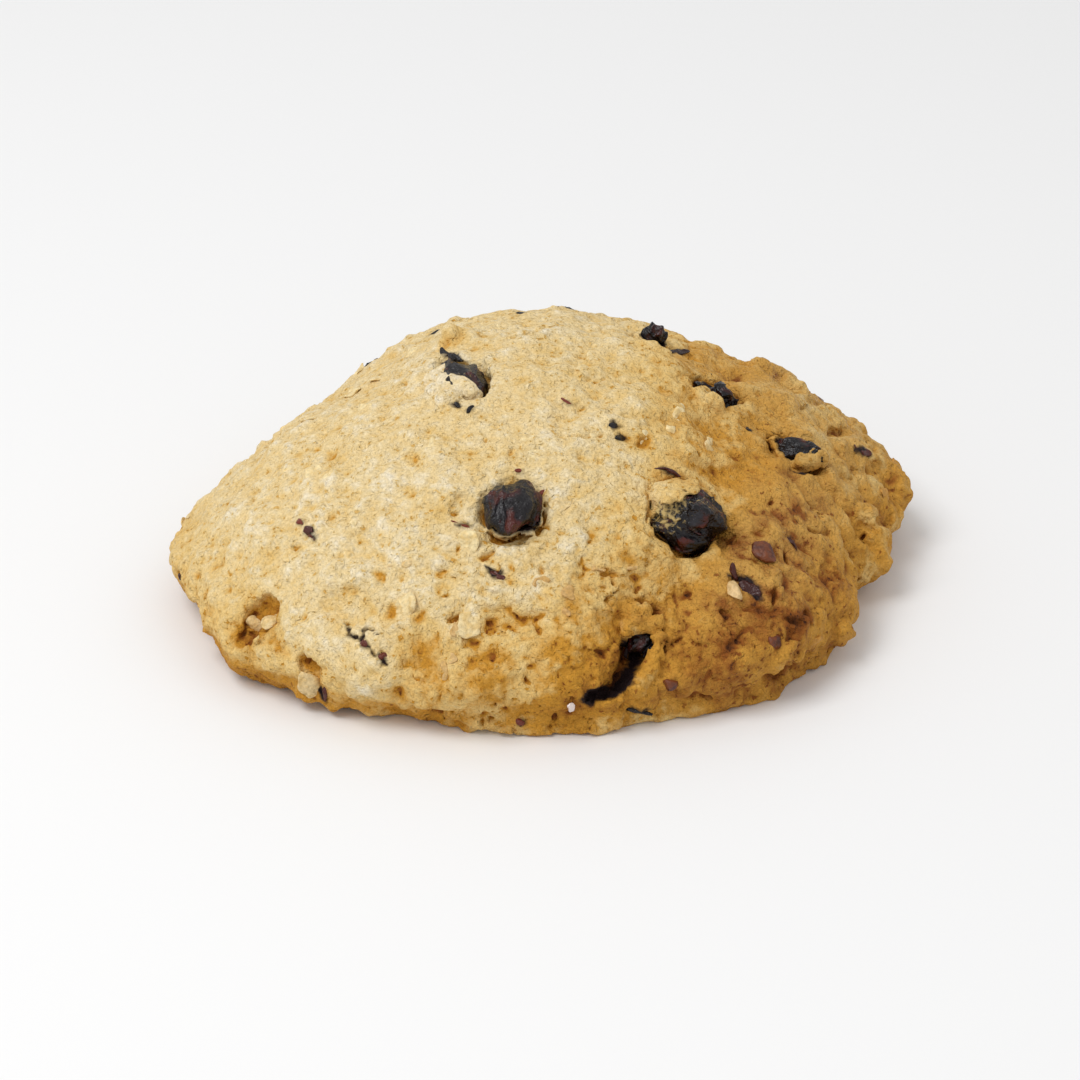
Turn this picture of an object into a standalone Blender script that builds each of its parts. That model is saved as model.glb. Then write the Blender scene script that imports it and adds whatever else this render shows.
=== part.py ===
"""Oatmeal cranberry cookie: a hand-shaped mound of oat dough with dried cranberries in it.

The cookie lies on the ground plane with the middle of its outline over the origin. +X is its
right, -Y its front and +Z up. Sizes and places are in millimetres: they are turned into metres
only where a mesh is made. The dough is one solid, with its oat flakes and nut chips fused on,
and each dried cranberry is a solid of its own in a socket of the dough.
"""

import math
import random
from itertools import pairwise

import bmesh
import bpy
from mathutils import Matrix, Vector, noise
from mathutils.bvhtree import BVHTree

MM = 0.001
GAP = 0.3
SLIVER = 0.01
BASE_FLATNESS = 0.05
SHARP_EDGE = 38

# The mound: its outline seen from above, and its profile from the peak down to the tray.
MEAN_RADIUS = 51.7
OUTLINE_LOBES = ((2, 3.8, 27), (3, 0.9, -29), (4, 1.5, 20), (5, 0.6, 24), (6, 0.5, 13), (7, 0.6, 18))
PEAK_HEIGHT = 35.6
WIDEST_HEIGHT = 7.7
DOME_FULLNESS = 0.78
PEAK_SHIFT = (-0.8, 5.3)
WALL_ANGLE = 0.36
MOUND_SUBDIVISIONS = 6
MOUND_KEPT_SHARE = 0.175

# How far the edge on the tray lies inside the widest outline: (direction in degrees, inset).
TUCKS = (
    (-180, 5.1), (-150, 5.6), (-138, 5.6), (-124, 10.0), (-110, 5.6), (-90, 2.4),
    (-60, 1.6), (-30, 2.6), (0, 4.2), (60, 3.2), (130, 3.6),
)

# The thin foot that spread on the tray, under a groove in the wall: (from, to) in degrees.
FOOT_STRETCH = (-100, -22)
FOOT_HEIGHT = 3.4
FOOT_GROOVE = 1.5

# Broad swellings and hollows of the hand-shaped dough: (x, y, z, radius, rise).
SWELLINGS = (
    (31.0, -36.0, 13.0, 12.0, 3.2),
    (42.0, -12.0, 19.0, 12.0, 1.6),
    (51.0, -8.0, 8.0, 7.0, 1.6),
    (53.0, 9.0, 12.0, 11.0, 2.2),
    (48.0, -27.0, 4.0, 9.0, 2.0),
    (-27.0, 9.0, 29.0, 10.0, -2.8),
    (14.0, -48.0, 2.0, 9.0, 1.2),
    (-12.0, -42.0, 16.0, 8.0, 1.0),
    (-12.5, 12.0, 34.0, 3.0, 1.2),
    (-20.7, 11.0, 31.0, 3.4, 1.0),
    (-40.5, -3.0, 23.5, 3.0, 1.6),
    (-44.0, 4.0, 18.0, 16.0, -2.4),
    (-50.0, -22.0, 3.0, 7.0, -3.4),
    (-38.7, -34.0, 10.5, 4.2, -3.4),
    (-23.5, -43.5, 13.0, 5.0, 0.8),
)

# The shallow valley that parts the right-hand lobe from the dome, as points seen from above.
VALLEY = ((28.0, 12.0), (30.0, -3.0), (27.0, -20.0), (22.5, -32.0), (14.0, -43.0))
VALLEY_DEPTH = 2.2
VALLEY_HALF_WIDTH = 5.0

# Creases that run in from the rim on the right, and one deep notch at the front end of them.
CREASE_STRETCH = (-14, 66)
CREASE_STEP = 7.5
CREASE_DEPTH = 1.2
CREASE_REACH = 16.0
NOTCH_DIRECTION = -18
NOTCH_HALF_WIDTH = 2.4
NOTCH_DEPTH = 1.7

# Relief of the crumb: size and height of its crags, low on the smooth left and high at the front.
CRAG_SIZE = 6.5
CRAG_HEIGHT = 1.9
FINE_CRAG_SIZE = 3.0
FINE_CRAG_HEIGHT = 1.2

# Dried cranberries: (x, y, turn in degrees), (length, breadth, thickness), depth of the middle.
CRANBERRIES = {
    "cranberry_front": ((-3.8, -29.2, 75), (10.5, 9.0, 7.5), 0.4),
    "cranberry_right": ((21.6, -25.0, 20), (12.5, 11.5, 9.5), 1.6),
    "cranberry_top_left": ((-11.6, -2.8, 110), (13.0, 8.0, 6.0), 1.6),
    "cranberry_peak": ((17.8, 13.4, 10), (6.5, 5.0, 7.0), 0.4),
    "cranberry_shoulder": ((27.1, 3.8, 35), (8.0, 6.0, 5.5), 1.4),
    "cranberry_lobe": ((38.8, -4.2, -20), (9.0, 6.0, 6.0), 1.5),
    "cranberry_crack": ((14.4, -41.2, 60), (6.5, 5.0, 5.0), 2.4),
    "cranberry_rear_left": ((-26.0, 36.0, 40), (10.0, 8.0, 7.0), 1.2),
    "cranberry_rear": ((2.0, 41.0, -15), (11.0, 9.0, 7.0), 1.4),
    "cranberry_rear_right": ((37.0, 31.0, 70), (9.0, 7.5, 6.5), 1.2),
}
CRANBERRY_SUBDIVISIONS = 3
WRINKLE_HEIGHT = 0.28
WRINKLE_SIZE = 0.55

# The open crack at the front: the points that it runs by, its width at each and its depth.
CRACK = ((15.6, -41.0, 14.0), (13.8, -43.0, 10.5), (10.6, -46.0, 7.8), (6.8, -47.8, 6.6))
CRACK_WIDTHS = (1.2, 2.6, 2.0, 0.8)
CRACK_DEPTH = 4.5

# Holes in the dough: (x, y, z), (length, breadth, depth).
HOLES = (
    ((-31.7, -42.6, 7.4), (3.2, 3.4, 4.0)),
    ((27.4, -25.6, 21.4), (3.6, 6.0, 5.0)),
)

# Oat flakes and nut chips fused to the dough.
FLAKE_SIZE = (4.6, 3.5, 0.7)
FLAKE_SIDES = 8
FLAKE_COUNT = 42
FLAKE_SPACING = 8.0
FLAKE_TILT = 9
FLAKE_PROUD = 0.1
BERRY_CLEARANCE = 3.5
NUT_SIZE = (4.4, 3.0, 2.4)
NUT_SPOTS = ((32.4, -28.1, 10), (28.2, -35.0, 60), (34.4, -38.0, 120), (18.8, -44.2, 0), (-12.5, 12.0, 30))
NUT_COUNT = 12
SCATTER_SEED = 42

DOUGH_COLOUR = (0.62, 0.42, 0.17, 1.0)
BERRY_COLOUR = (0.030, 0.010, 0.012, 1.0)


def clear_scene():
    """Remove every object that the scene starts with."""
    for thing in list(bpy.data.objects):
        bpy.data.objects.remove(thing, do_unlink=True)


def make_material(name, colour, roughness):
    """Return a Principled material."""
    material = bpy.data.materials.new(name)
    material.use_nodes = True
    shader = material.node_tree.nodes["Principled BSDF"]
    shader.inputs["Base Color"].default_value = colour
    shader.inputs["Roughness"].default_value = roughness
    return material


def make_object(name, mesh_data, material=None):
    """Turn a bmesh in millimetres into a smooth-shaded object in metres."""
    bmesh.ops.scale(mesh_data, vec=(MM, MM, MM), verts=mesh_data.verts)
    bmesh.ops.recalc_face_normals(mesh_data, faces=mesh_data.faces)
    mesh = bpy.data.meshes.new(name)
    mesh_data.to_mesh(mesh)
    mesh_data.free()
    mesh.shade_smooth()
    if material:
        mesh.materials.append(material)
    made = bpy.data.objects.new(name, mesh)
    bpy.context.scene.collection.objects.link(made)
    return made


def ease(value):
    """Return a smooth step from 0 to 1 as the value goes from 0 to 1."""
    value = min(1.0, max(0.0, value))
    return value * value * (3.0 - 2.0 * value)


def bell(distance, radius):
    """Return a smooth bump that is 1 at the middle and nearly 0 at twice the radius."""
    return math.exp(-((distance / radius) ** 2))


def degrees_apart(first, second):
    """Return the angle between two directions, from 0 to 180 degrees."""
    return abs((first - second + 180.0) % 360.0 - 180.0)


def stretch_weight(direction, stretch, fade=8.0):
    """Return 1 inside a stretch of directions, fading to 0 outside its ends."""
    middle = 0.5 * (stretch[0] + stretch[1])
    half = 0.5 * (stretch[1] - stretch[0])
    return 1.0 - ease((degrees_apart(direction, middle) - half) / fade)


def distance_to_path(point, path):
    """Return how far a point seen from above is from a path of points."""
    best = math.inf
    for start, end in pairwise(path):
        start, end = Vector(start), Vector(end)
        along = end - start
        share = min(1.0, max(0.0, (point - start).dot(along) / along.length_squared))
        best = min(best, (point - start - along * share).length)
    return best


def outline_radius(direction):
    """Return the reach of the widest outline in a direction in degrees."""
    radius = MEAN_RADIUS
    for lobes, height, crest in OUTLINE_LOBES:
        radius += height * math.cos(math.radians(lobes * (direction - crest)))
    notch = math.radians(degrees_apart(direction, NOTCH_DIRECTION)) * MEAN_RADIUS
    return radius - NOTCH_DEPTH * bell(notch, NOTCH_HALF_WIDTH)


def tuck_inset(direction):
    """Return how far the edge on the tray lies inside the widest outline."""
    closed = TUCKS + ((TUCKS[0][0] + 360, TUCKS[0][1]),)
    for (start, first), (end, second) in pairwise(closed):
        if start <= direction <= end:
            return first + (second - first) * ease((direction - start) / (end - start))
    return TUCKS[0][1]


def mound_point(unit):
    """Return the plain mound's point for a unit direction, and its height on the wall."""
    direction = math.degrees(math.atan2(unit.y, unit.x))
    angle = math.acos(max(-1.0, min(1.0, unit.z)))
    reach = outline_radius(direction)
    flat = Vector((math.cos(math.radians(direction)), math.sin(math.radians(direction))))
    below = angle - math.pi / 2
    if below <= 0.0:
        rise = (PEAK_HEIGHT - WIDEST_HEIGHT) * max(0.0, unit.z) ** (2.0 * DOME_FULLNESS)
        lean = 1.0 - math.sin(angle)
        place = flat * (reach * math.sin(angle)) + Vector(PEAK_SHIFT) * lean
        return Vector((place.x, place.y, WIDEST_HEIGHT + rise)), 1.0
    inset = tuck_inset(direction)
    turn = min(1.0, below / WALL_ANGLE) * math.pi / 2
    if below < WALL_ANGLE:
        place = flat * (reach - inset * (1.0 - math.cos(turn)))
        return Vector((place.x, place.y, WIDEST_HEIGHT * (1.0 - math.sin(turn)))), 1.0 - below / WALL_ANGLE
    place = flat * ((reach - inset) * math.sin(angle) / math.cos(WALL_ANGLE))
    return Vector((place.x, place.y, 0.0)), 0.0


def crag_share(point):
    """Return how craggy the crumb is: low on the left and top, high low at the front and right."""
    front = ease((-point.y - 18.0) / 24.0) * ease((30.0 - point.z) / 16.0)
    right = ease((point.x - 8.0) / 30.0)
    return 0.45 + 0.4 * front + 0.25 * right


def relief(point):
    """Return how far the finished dough stands out of the plain mound at a point."""
    seen = Vector((point.x, point.y))
    direction = math.degrees(math.atan2(point.y, point.x))
    rise = 0.0
    for x, y, z, radius, height in SWELLINGS:
        rise += height * bell((point - Vector((x, y, z))).length, radius)
    rise -= VALLEY_DEPTH * bell(distance_to_path(seen, VALLEY), VALLEY_HALF_WIDTH)
    to_rim = outline_radius(direction) - seen.length
    wave = 0.5 - 0.5 * math.cos(math.radians(direction) / math.radians(CREASE_STEP) * 2.0 * math.pi)
    crease = stretch_weight(direction, CREASE_STRETCH) * (1.0 - ease(to_rim / CREASE_REACH))
    rise -= CREASE_DEPTH * crease * wave**3
    groove = stretch_weight(direction, FOOT_STRETCH) * bell(point.z - FOOT_HEIGHT, 1.2)
    rise -= FOOT_GROOVE * groove
    crags = CRAG_HEIGHT * noise.noise(point / CRAG_SIZE)
    crags += FINE_CRAG_HEIGHT * noise.noise(point / FINE_CRAG_SIZE)
    return rise + crags * crag_share(point)


def mound_mesh():
    """Return the dough's mound as a bmesh in millimetres, with a flat base."""
    mesh = bmesh.new()
    bmesh.ops.create_icosphere(mesh, subdivisions=MOUND_SUBDIVISIONS, radius=1.0)
    share = {}
    for vert in mesh.verts:
        vert.co, share[vert] = mound_point(vert.co.normalized())
    mesh.normal_update()
    normals = {vert: vert.normal.copy() for vert in mesh.verts}
    for vert in mesh.verts:
        if share[vert] > 0.0:
            vert.co += normals[vert] * relief(vert.co) * ease(share[vert] * 2.5)
            vert.co.z = max(0.0, vert.co.z)
    return mesh


def apply_modifiers(thing):
    """Give an object the mesh that its modifiers make, and remove them."""
    depsgraph = bpy.context.evaluated_depsgraph_get()
    made = bpy.data.meshes.new_from_object(thing.evaluated_get(depsgraph))
    thing.modifiers.clear()
    thing.data = made


def make_mound(material):
    """Return the bare dough, with its evenly fine grid thinned where it is flat."""
    mound = make_object("cookie", mound_mesh(), material)
    thin = mound.modifiers.new("thin_out", "DECIMATE")
    thin.ratio = MOUND_KEPT_SHARE
    apply_modifiers(mound)
    return mound


class Ground:
    """The dough's surface, to find the place and slope of what lies on it."""

    def __init__(self, dough):
        """Read the dough's mesh."""
        mesh = bmesh.new()
        mesh.from_mesh(dough.data)
        self.tree = BVHTree.FromBMesh(mesh)
        mesh.free()

    def under(self, x, y):
        """Return the point of the surface under a place, and its normal, in millimetres."""
        point, normal, _, _ = self.tree.ray_cast(Vector((x, y, 100.0)) * MM, Vector((0, 0, -1)))
        return (point / MM, normal) if point else self.beside((x, y, WIDEST_HEIGHT))

    def beside(self, place):
        """Return the point of the surface nearest to a place, and its normal, in millimetres."""
        point, normal, _, _ = self.tree.find_nearest(Vector(place) * MM)
        return point / MM, normal


def seat(point, normal, turn, tilt=(0.0, 0.0)):
    """Return the placement of a piece that lies on a surface, turned about its normal."""
    lie = Vector((0, 0, 1)).rotation_difference(normal).to_matrix().to_4x4()
    spin = Matrix.Rotation(math.radians(turn), 4, "Z")
    lean = Matrix.Rotation(math.radians(tilt[0]), 4, "X") @ Matrix.Rotation(math.radians(tilt[1]), 4, "Y")
    return Matrix.Translation(point) @ lie @ spin @ lean


def lump_mesh(size, subdivisions, roughness, patch, offset, grow=0.0):
    """Return an uneven round lump: size across, and how far its wrinkles and growth move it."""
    mesh = bmesh.new()
    bmesh.ops.create_icosphere(mesh, subdivisions=subdivisions, radius=1.0)
    for vert in mesh.verts:
        unit = vert.co.normalized()
        swell = 1.0 + roughness * noise.noise(unit / patch + offset)
        half = Vector([0.5 * side * swell + grow for side in size])
        vert.co = Vector((unit.x * half.x, unit.y * half.y, unit.z * half.z))
    return mesh


def berry_mesh(number, size, grow=0.0):
    """Return one dried cranberry, a flattened and wrinkled lump."""
    offset = Vector((7.3, 1.9, 4.1)) * (number + 1)
    return lump_mesh(size, CRANBERRY_SUBDIVISIONS, WRINKLE_HEIGHT, WRINKLE_SIZE, offset, grow)


def make_berries(ground, material):
    """Return the cranberries, and the cutters for their sockets, a gap wider all round."""
    berries = []
    cutters = []
    for number, (name, (place, size, depth)) in enumerate(CRANBERRIES.items()):
        x, y, turn = place
        point, normal = ground.under(x, y)
        placement = seat(point - normal * depth, normal, turn)
        for grow, label, kept in ((0.0, name, berries), (GAP, name + "_socket", cutters)):
            mesh = berry_mesh(number, size, grow)
            bmesh.ops.transform(mesh, matrix=placement, verts=mesh.verts)
            kept.append(make_object(label, mesh, material if grow == 0.0 else None))
    return berries, cutters


def make_hole_cutters():
    """Return the cutters for the separate holes in the dough."""
    cutters = []
    for number, (place, size) in enumerate(HOLES):
        mesh = lump_mesh(size, 2, 0.3, 0.6, Vector((2.7, 0.4, 9.2)) * (number + 1))
        bmesh.ops.translate(mesh, vec=Vector(place), verts=mesh.verts)
        cutters.append(make_object(f"hole_{number}", mesh))
    return cutters


def make_crack_cutter(ground):
    """Return a wedge that follows the crack: wide at the surface and closed at its bottom."""
    mesh = bmesh.new()
    rings = []
    for number, place in enumerate(CRACK):
        ahead = Vector(CRACK[min(number + 1, len(CRACK) - 1)])
        behind = Vector(CRACK[max(number - 1, 0)])
        point, normal = ground.beside(place)
        side = (ahead - behind).cross(normal).normalized() * CRACK_WIDTHS[number] / 2
        corners = (point + normal * 2.5 + side * 1.8, point + normal * 2.5 - side * 1.8, point - side,
                   point - normal * CRACK_DEPTH, point + side)
        rings.append([mesh.verts.new(corner) for corner in corners])
    for ring, following in pairwise(rings):
        for index in range(len(ring)):
            following_index = (index + 1) % len(ring)
            mesh.faces.new((ring[index], ring[following_index], following[following_index], following[index]))
    mesh.faces.new(rings[0])
    mesh.faces.new(rings[-1])
    bmesh.ops.triangulate(mesh, faces=mesh.faces)
    return make_object("crack", mesh)


def flake_mesh(rng):
    """Return one rolled oat: a thin oval disc with an uneven, slightly curled edge."""
    mesh = bmesh.new()
    length, breadth, thickness = (side * rng.uniform(0.8, 1.15) for side in FLAKE_SIZE)
    curl = rng.uniform(-0.25, 0.35)
    rims = [[], []]
    for side in range(FLAKE_SIDES):
        angle = 2.0 * math.pi * side / FLAKE_SIDES
        ragged = rng.uniform(0.88, 1.1)
        x = 0.5 * length * ragged * math.cos(angle)
        y = 0.5 * breadth * ragged * math.sin(angle)
        bend = curl * math.cos(2.0 * angle)
        rims[0].append(mesh.verts.new((x, y, bend + 0.3 * thickness)))
        rims[1].append(mesh.verts.new((x, y, bend - 0.5 * thickness)))
    poles = [mesh.verts.new((0, 0, 0.5 * thickness)), mesh.verts.new((0, 0, -0.6 * thickness))]
    for side in range(FLAKE_SIDES):
        ahead = (side + 1) % FLAKE_SIDES
        mesh.faces.new((poles[0], rims[0][side], rims[0][ahead]))
        mesh.faces.new((poles[1], rims[1][ahead], rims[1][side]))
        mesh.faces.new((rims[0][side], rims[1][side], rims[1][ahead]))
        mesh.faces.new((rims[0][side], rims[1][ahead], rims[0][ahead]))
    return mesh


def nut_mesh(rng):
    """Return one chopped nut chip, an angular lump."""
    size = tuple(side * rng.uniform(0.8, 1.15) for side in NUT_SIZE)
    offset = Vector((rng.uniform(0, 50), rng.uniform(0, 50), rng.uniform(0, 50)))
    return lump_mesh(size, 1, 0.5, 0.6, offset)


def is_clear(x, y, taken):
    """Tell whether a place keeps its distance from the places already taken."""
    return all(math.hypot(x - other_x, y - other_y) > reach for other_x, other_y, reach in taken)


def taken_by_berries():
    """Return the places of the cranberries, with how near a small piece may lie."""
    return [(place[0], place[1], 0.5 * size[0] + BERRY_CLEARANCE) for place, size, _ in CRANBERRIES.values()]


def scatter_places(rng, count, spacing, taken):
    """Return random places on the mound that keep clear of each other and of the cranberries."""
    places = []
    for _ in range(40 * count):
        direction = rng.uniform(-180, 180)
        reach = 0.93 * math.sqrt(rng.random()) * outline_radius(direction)
        x = reach * math.cos(math.radians(direction))
        y = reach * math.sin(math.radians(direction))
        if len(places) < count and is_clear(x, y, taken):
            places.append((x, y))
            taken.append((x, y, spacing))
    return places


def make_small_pieces(ground):
    """Return the oat flakes and nut chips, each laid on the dough and partly sunk in it."""
    rng = random.Random(SCATTER_SEED)
    taken = taken_by_berries()
    pieces = []
    nuts = list(NUT_SPOTS)
    taken += [(x, y, 5.0) for x, y, _ in nuts]
    nuts += [(x, y, rng.uniform(0, 180)) for x, y in scatter_places(rng, NUT_COUNT, FLAKE_SPACING, taken)]
    for x, y, turn in nuts:
        point, normal = ground.under(x, y)
        mesh = nut_mesh(rng)
        bmesh.ops.transform(mesh, matrix=seat(point - normal * 0.2, normal, turn), verts=mesh.verts)
        pieces.append(make_object("nut_chip", mesh))
    for x, y in scatter_places(rng, FLAKE_COUNT, FLAKE_SPACING, taken):
        point, normal = ground.under(x, y)
        tilt = (rng.uniform(-FLAKE_TILT, FLAKE_TILT), rng.uniform(-FLAKE_TILT, FLAKE_TILT))
        mesh = flake_mesh(rng)
        placement = seat(point + normal * FLAKE_PROUD, normal, rng.uniform(0, 180), tilt)
        bmesh.ops.transform(mesh, matrix=placement, verts=mesh.verts)
        pieces.append(make_object("oat_flake", mesh))
    return pieces


def combine(target, others, operation):
    """Join others to the target, or cut them out of it, and remove them."""
    group = bpy.data.collections.new(operation.lower())
    bpy.context.scene.collection.children.link(group)
    for other in others:
        bpy.context.scene.collection.objects.unlink(other)
        group.objects.link(other)
    step = target.modifiers.new(operation.lower(), "BOOLEAN")
    step.operand_type = "COLLECTION"
    step.collection = group
    step.operation = operation
    step.solver = "EXACT"
    apply_modifiers(target)
    for other in others:
        bpy.data.objects.remove(other, do_unlink=True)
    bpy.data.collections.remove(group)


def body_of(face):
    """Return every face that is joined to a face through shared edges."""
    found = {face}
    waiting = [face]
    while waiting:
        for edge in waiting.pop().edges:
            for neighbour in edge.link_faces:
                if neighbour not in found:
                    found.add(neighbour)
                    waiting.append(neighbour)
    return found


def drop_scraps(thing):
    """Keep only the largest closed body of an object, triangulated and without slivers."""
    mesh = bmesh.new()
    mesh.from_mesh(thing.data)
    bmesh.ops.triangulate(mesh, faces=mesh.faces)
    bmesh.ops.dissolve_degenerate(mesh, dist=SLIVER * MM, edges=mesh.edges)
    bmesh.ops.triangulate(mesh, faces=mesh.faces)
    for vert in mesh.verts:
        if vert.co.z < BASE_FLATNESS * MM:
            vert.co.z = 0.0
    left = set(mesh.faces)
    bodies = []
    while left:
        bodies.append(body_of(next(iter(left))))
        left -= bodies[-1]
    bodies.sort(key=len)
    scraps = [face for body in bodies[:-1] for face in body]
    bmesh.ops.delete(mesh, geom=scraps, context="FACES")
    mesh.to_mesh(thing.data)
    mesh.free()


def centre_on_origin(dough, berries):
    """Shift every piece so that the middle of the dough's outline is over the origin."""
    corners = [vert.co for vert in dough.data.vertices]
    x = 0.5 * (min(corner.x for corner in corners) + max(corner.x for corner in corners))
    y = 0.5 * (min(corner.y for corner in corners) + max(corner.y for corner in corners))
    for thing in [dough] + berries:
        thing.data.transform(Matrix.Translation((-x, -y, 0.0)))


def main():
    """Build the cookie."""
    clear_scene()
    dough_material = make_material("baked_oat_dough", DOUGH_COLOUR, 0.75)
    berry_material = make_material("dried_cranberry", BERRY_COLOUR, 0.35)
    dough = make_mound(dough_material)
    ground = Ground(dough)
    combine(dough, make_small_pieces(ground), "UNION")
    berries, sockets = make_berries(ground, berry_material)
    combine(dough, sockets + make_hole_cutters() + [make_crack_cutter(ground)], "DIFFERENCE")
    drop_scraps(dough)
    dough.data.shade_smooth()
    dough.data.set_sharp_from_angle(angle=math.radians(SHARP_EDGE))
    centre_on_origin(dough, berries)


main()
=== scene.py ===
"""Oatmeal cranberry cookie: its crumbly crust, oats, nut chips and wrinkled dried cranberries."""

import logging
import math
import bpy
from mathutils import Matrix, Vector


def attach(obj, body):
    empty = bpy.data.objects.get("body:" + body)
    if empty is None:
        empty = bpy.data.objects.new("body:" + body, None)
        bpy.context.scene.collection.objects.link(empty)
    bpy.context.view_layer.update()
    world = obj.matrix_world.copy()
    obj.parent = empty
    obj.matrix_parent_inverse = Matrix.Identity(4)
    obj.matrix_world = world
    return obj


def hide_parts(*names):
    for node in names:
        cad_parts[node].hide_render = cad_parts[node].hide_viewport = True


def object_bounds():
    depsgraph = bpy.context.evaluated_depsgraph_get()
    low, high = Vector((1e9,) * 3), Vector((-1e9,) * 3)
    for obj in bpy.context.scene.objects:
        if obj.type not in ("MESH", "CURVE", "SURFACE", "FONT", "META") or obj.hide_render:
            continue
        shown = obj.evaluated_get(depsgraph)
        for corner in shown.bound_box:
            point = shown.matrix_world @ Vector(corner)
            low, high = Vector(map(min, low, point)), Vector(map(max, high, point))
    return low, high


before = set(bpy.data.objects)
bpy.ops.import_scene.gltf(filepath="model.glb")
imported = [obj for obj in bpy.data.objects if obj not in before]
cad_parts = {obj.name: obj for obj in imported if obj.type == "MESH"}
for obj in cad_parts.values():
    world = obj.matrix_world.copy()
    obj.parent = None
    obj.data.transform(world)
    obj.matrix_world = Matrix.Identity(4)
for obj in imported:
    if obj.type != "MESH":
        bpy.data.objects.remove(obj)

from concurrent.futures import ThreadPoolExecutor
from dataclasses import dataclass, field
from enum import Enum
from functools import cache, wraps
from typing import Any, Callable, ClassVar, Iterator, Sequence

import bmesh
import bpy
import numpy as np
import openvdb as vdb
from mathutils import Matrix, Vector
from mathutils.kdtree import KDTree

log = logging.getLogger("cookie")

MM = 0.001
CAD_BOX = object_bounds()
LOW = np.array(CAD_BOX[0]) / MM
HIGH = np.array(CAD_BOX[1]) / MM
DOUGH_NODE = "cookie"
BERRY_NODES = sorted(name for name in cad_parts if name.startswith("cranberry"))
UP = np.array((0.0, 0.0, 1.0))
# The level direction, front right, in which dough stands away from the berries.
GAP_SIDE = np.array((0.62, -0.7, 0.0))

# Three numbers: a place, a size or a direction, along, across and up.
Triple = tuple[float, float, float]
# The slices that pick a part out of a grid.
GridPart = tuple[slice, ...]


# ---------------------------------------------------------------- small helpers


def linear(hex_colour: str) -> tuple[float, float, float, float]:
    """Turn an sRGB hex colour into linear numbers.

    Args:
        hex_colour: A colour such as "#E7D0A0".

    Returns:
        Red, green, blue and alpha for a shader socket.
    """
    channels = [int(hex_colour[start:start + 2], 16) / 255 for start in (1, 3, 5)]
    red, green, blue = (c / 12.92 if c <= 0.04045 else ((c + 0.055) / 1.055) ** 2.4 for c in channels)
    return (red, green, blue, 1.0)


def from_shares(shares: Sequence) -> np.ndarray:
    """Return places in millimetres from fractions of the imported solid's box."""
    return LOW + np.array(shares) * (HIGH - LOW)


def to_shares(places: np.ndarray) -> np.ndarray:
    """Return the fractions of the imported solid's box from places in millimetres."""
    return (places - LOW) / (HIGH - LOW)


def unit(direction: Sequence[float]) -> np.ndarray:
    """Return a direction with a length of one."""
    return np.array(direction) / np.linalg.norm(direction)


def smooth_step(value: np.ndarray, low: float, high: float) -> np.ndarray:
    """Return 0 on low's side, 1 on high's side and a smooth change between them."""
    share = np.clip((value - low) / (high - low), 0.0, 1.0)
    return share * share * (3.0 - 2.0 * share)


def smooth_min(first: np.ndarray, second: np.ndarray, blend: float) -> np.ndarray:
    """Return the smaller of two distances, rounded off over a blend width."""
    share = np.maximum(blend - np.abs(first - second), 0.0) / blend
    return np.minimum(first, second) - 0.25 * blend * share * share


def smooth_max(first: np.ndarray, second: np.ndarray, blend: float) -> np.ndarray:
    """Return the larger of two distances, rounded off over a blend width."""
    return -smooth_min(-first, -second, blend)


def clear_of_floor(places: np.ndarray, start: float, full: float) -> np.ndarray:
    """Return 0 below a start height and 1 above a full one, so that the base stays flat."""
    return smooth_step(places[:, 2], start, full)


def in_parts(method: Callable, part_size: int = 40000) -> Callable:
    """Let a method work on many points a part at a time, on every processor.

    Args:
        method: Turns points, one a row, into numbers, one for each point.
        part_size: About how many points a part has.

    Returns:
        The method, which gives the same numbers sooner.
    """
    @wraps(method)
    def split_up(owner: Any, places: np.ndarray, *rest: Any) -> np.ndarray:
        """Share the points out if there are many.

        Args:
            owner: The object whose method it is.
            places: The points.
            rest: What else the method takes.

        Returns:
            The numbers, one for each point.
        """
        if len(places) < 1.5 * part_size:
            return method(owner, places, *rest)
        with ThreadPoolExecutor() as pool:
            parts = np.array_split(places, len(places) // part_size)
            return np.concatenate(list(pool.map(lambda part: method(owner, part, *rest), parts)))
    return split_up


# ---------------------------------------------------------------- noise in space


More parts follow.
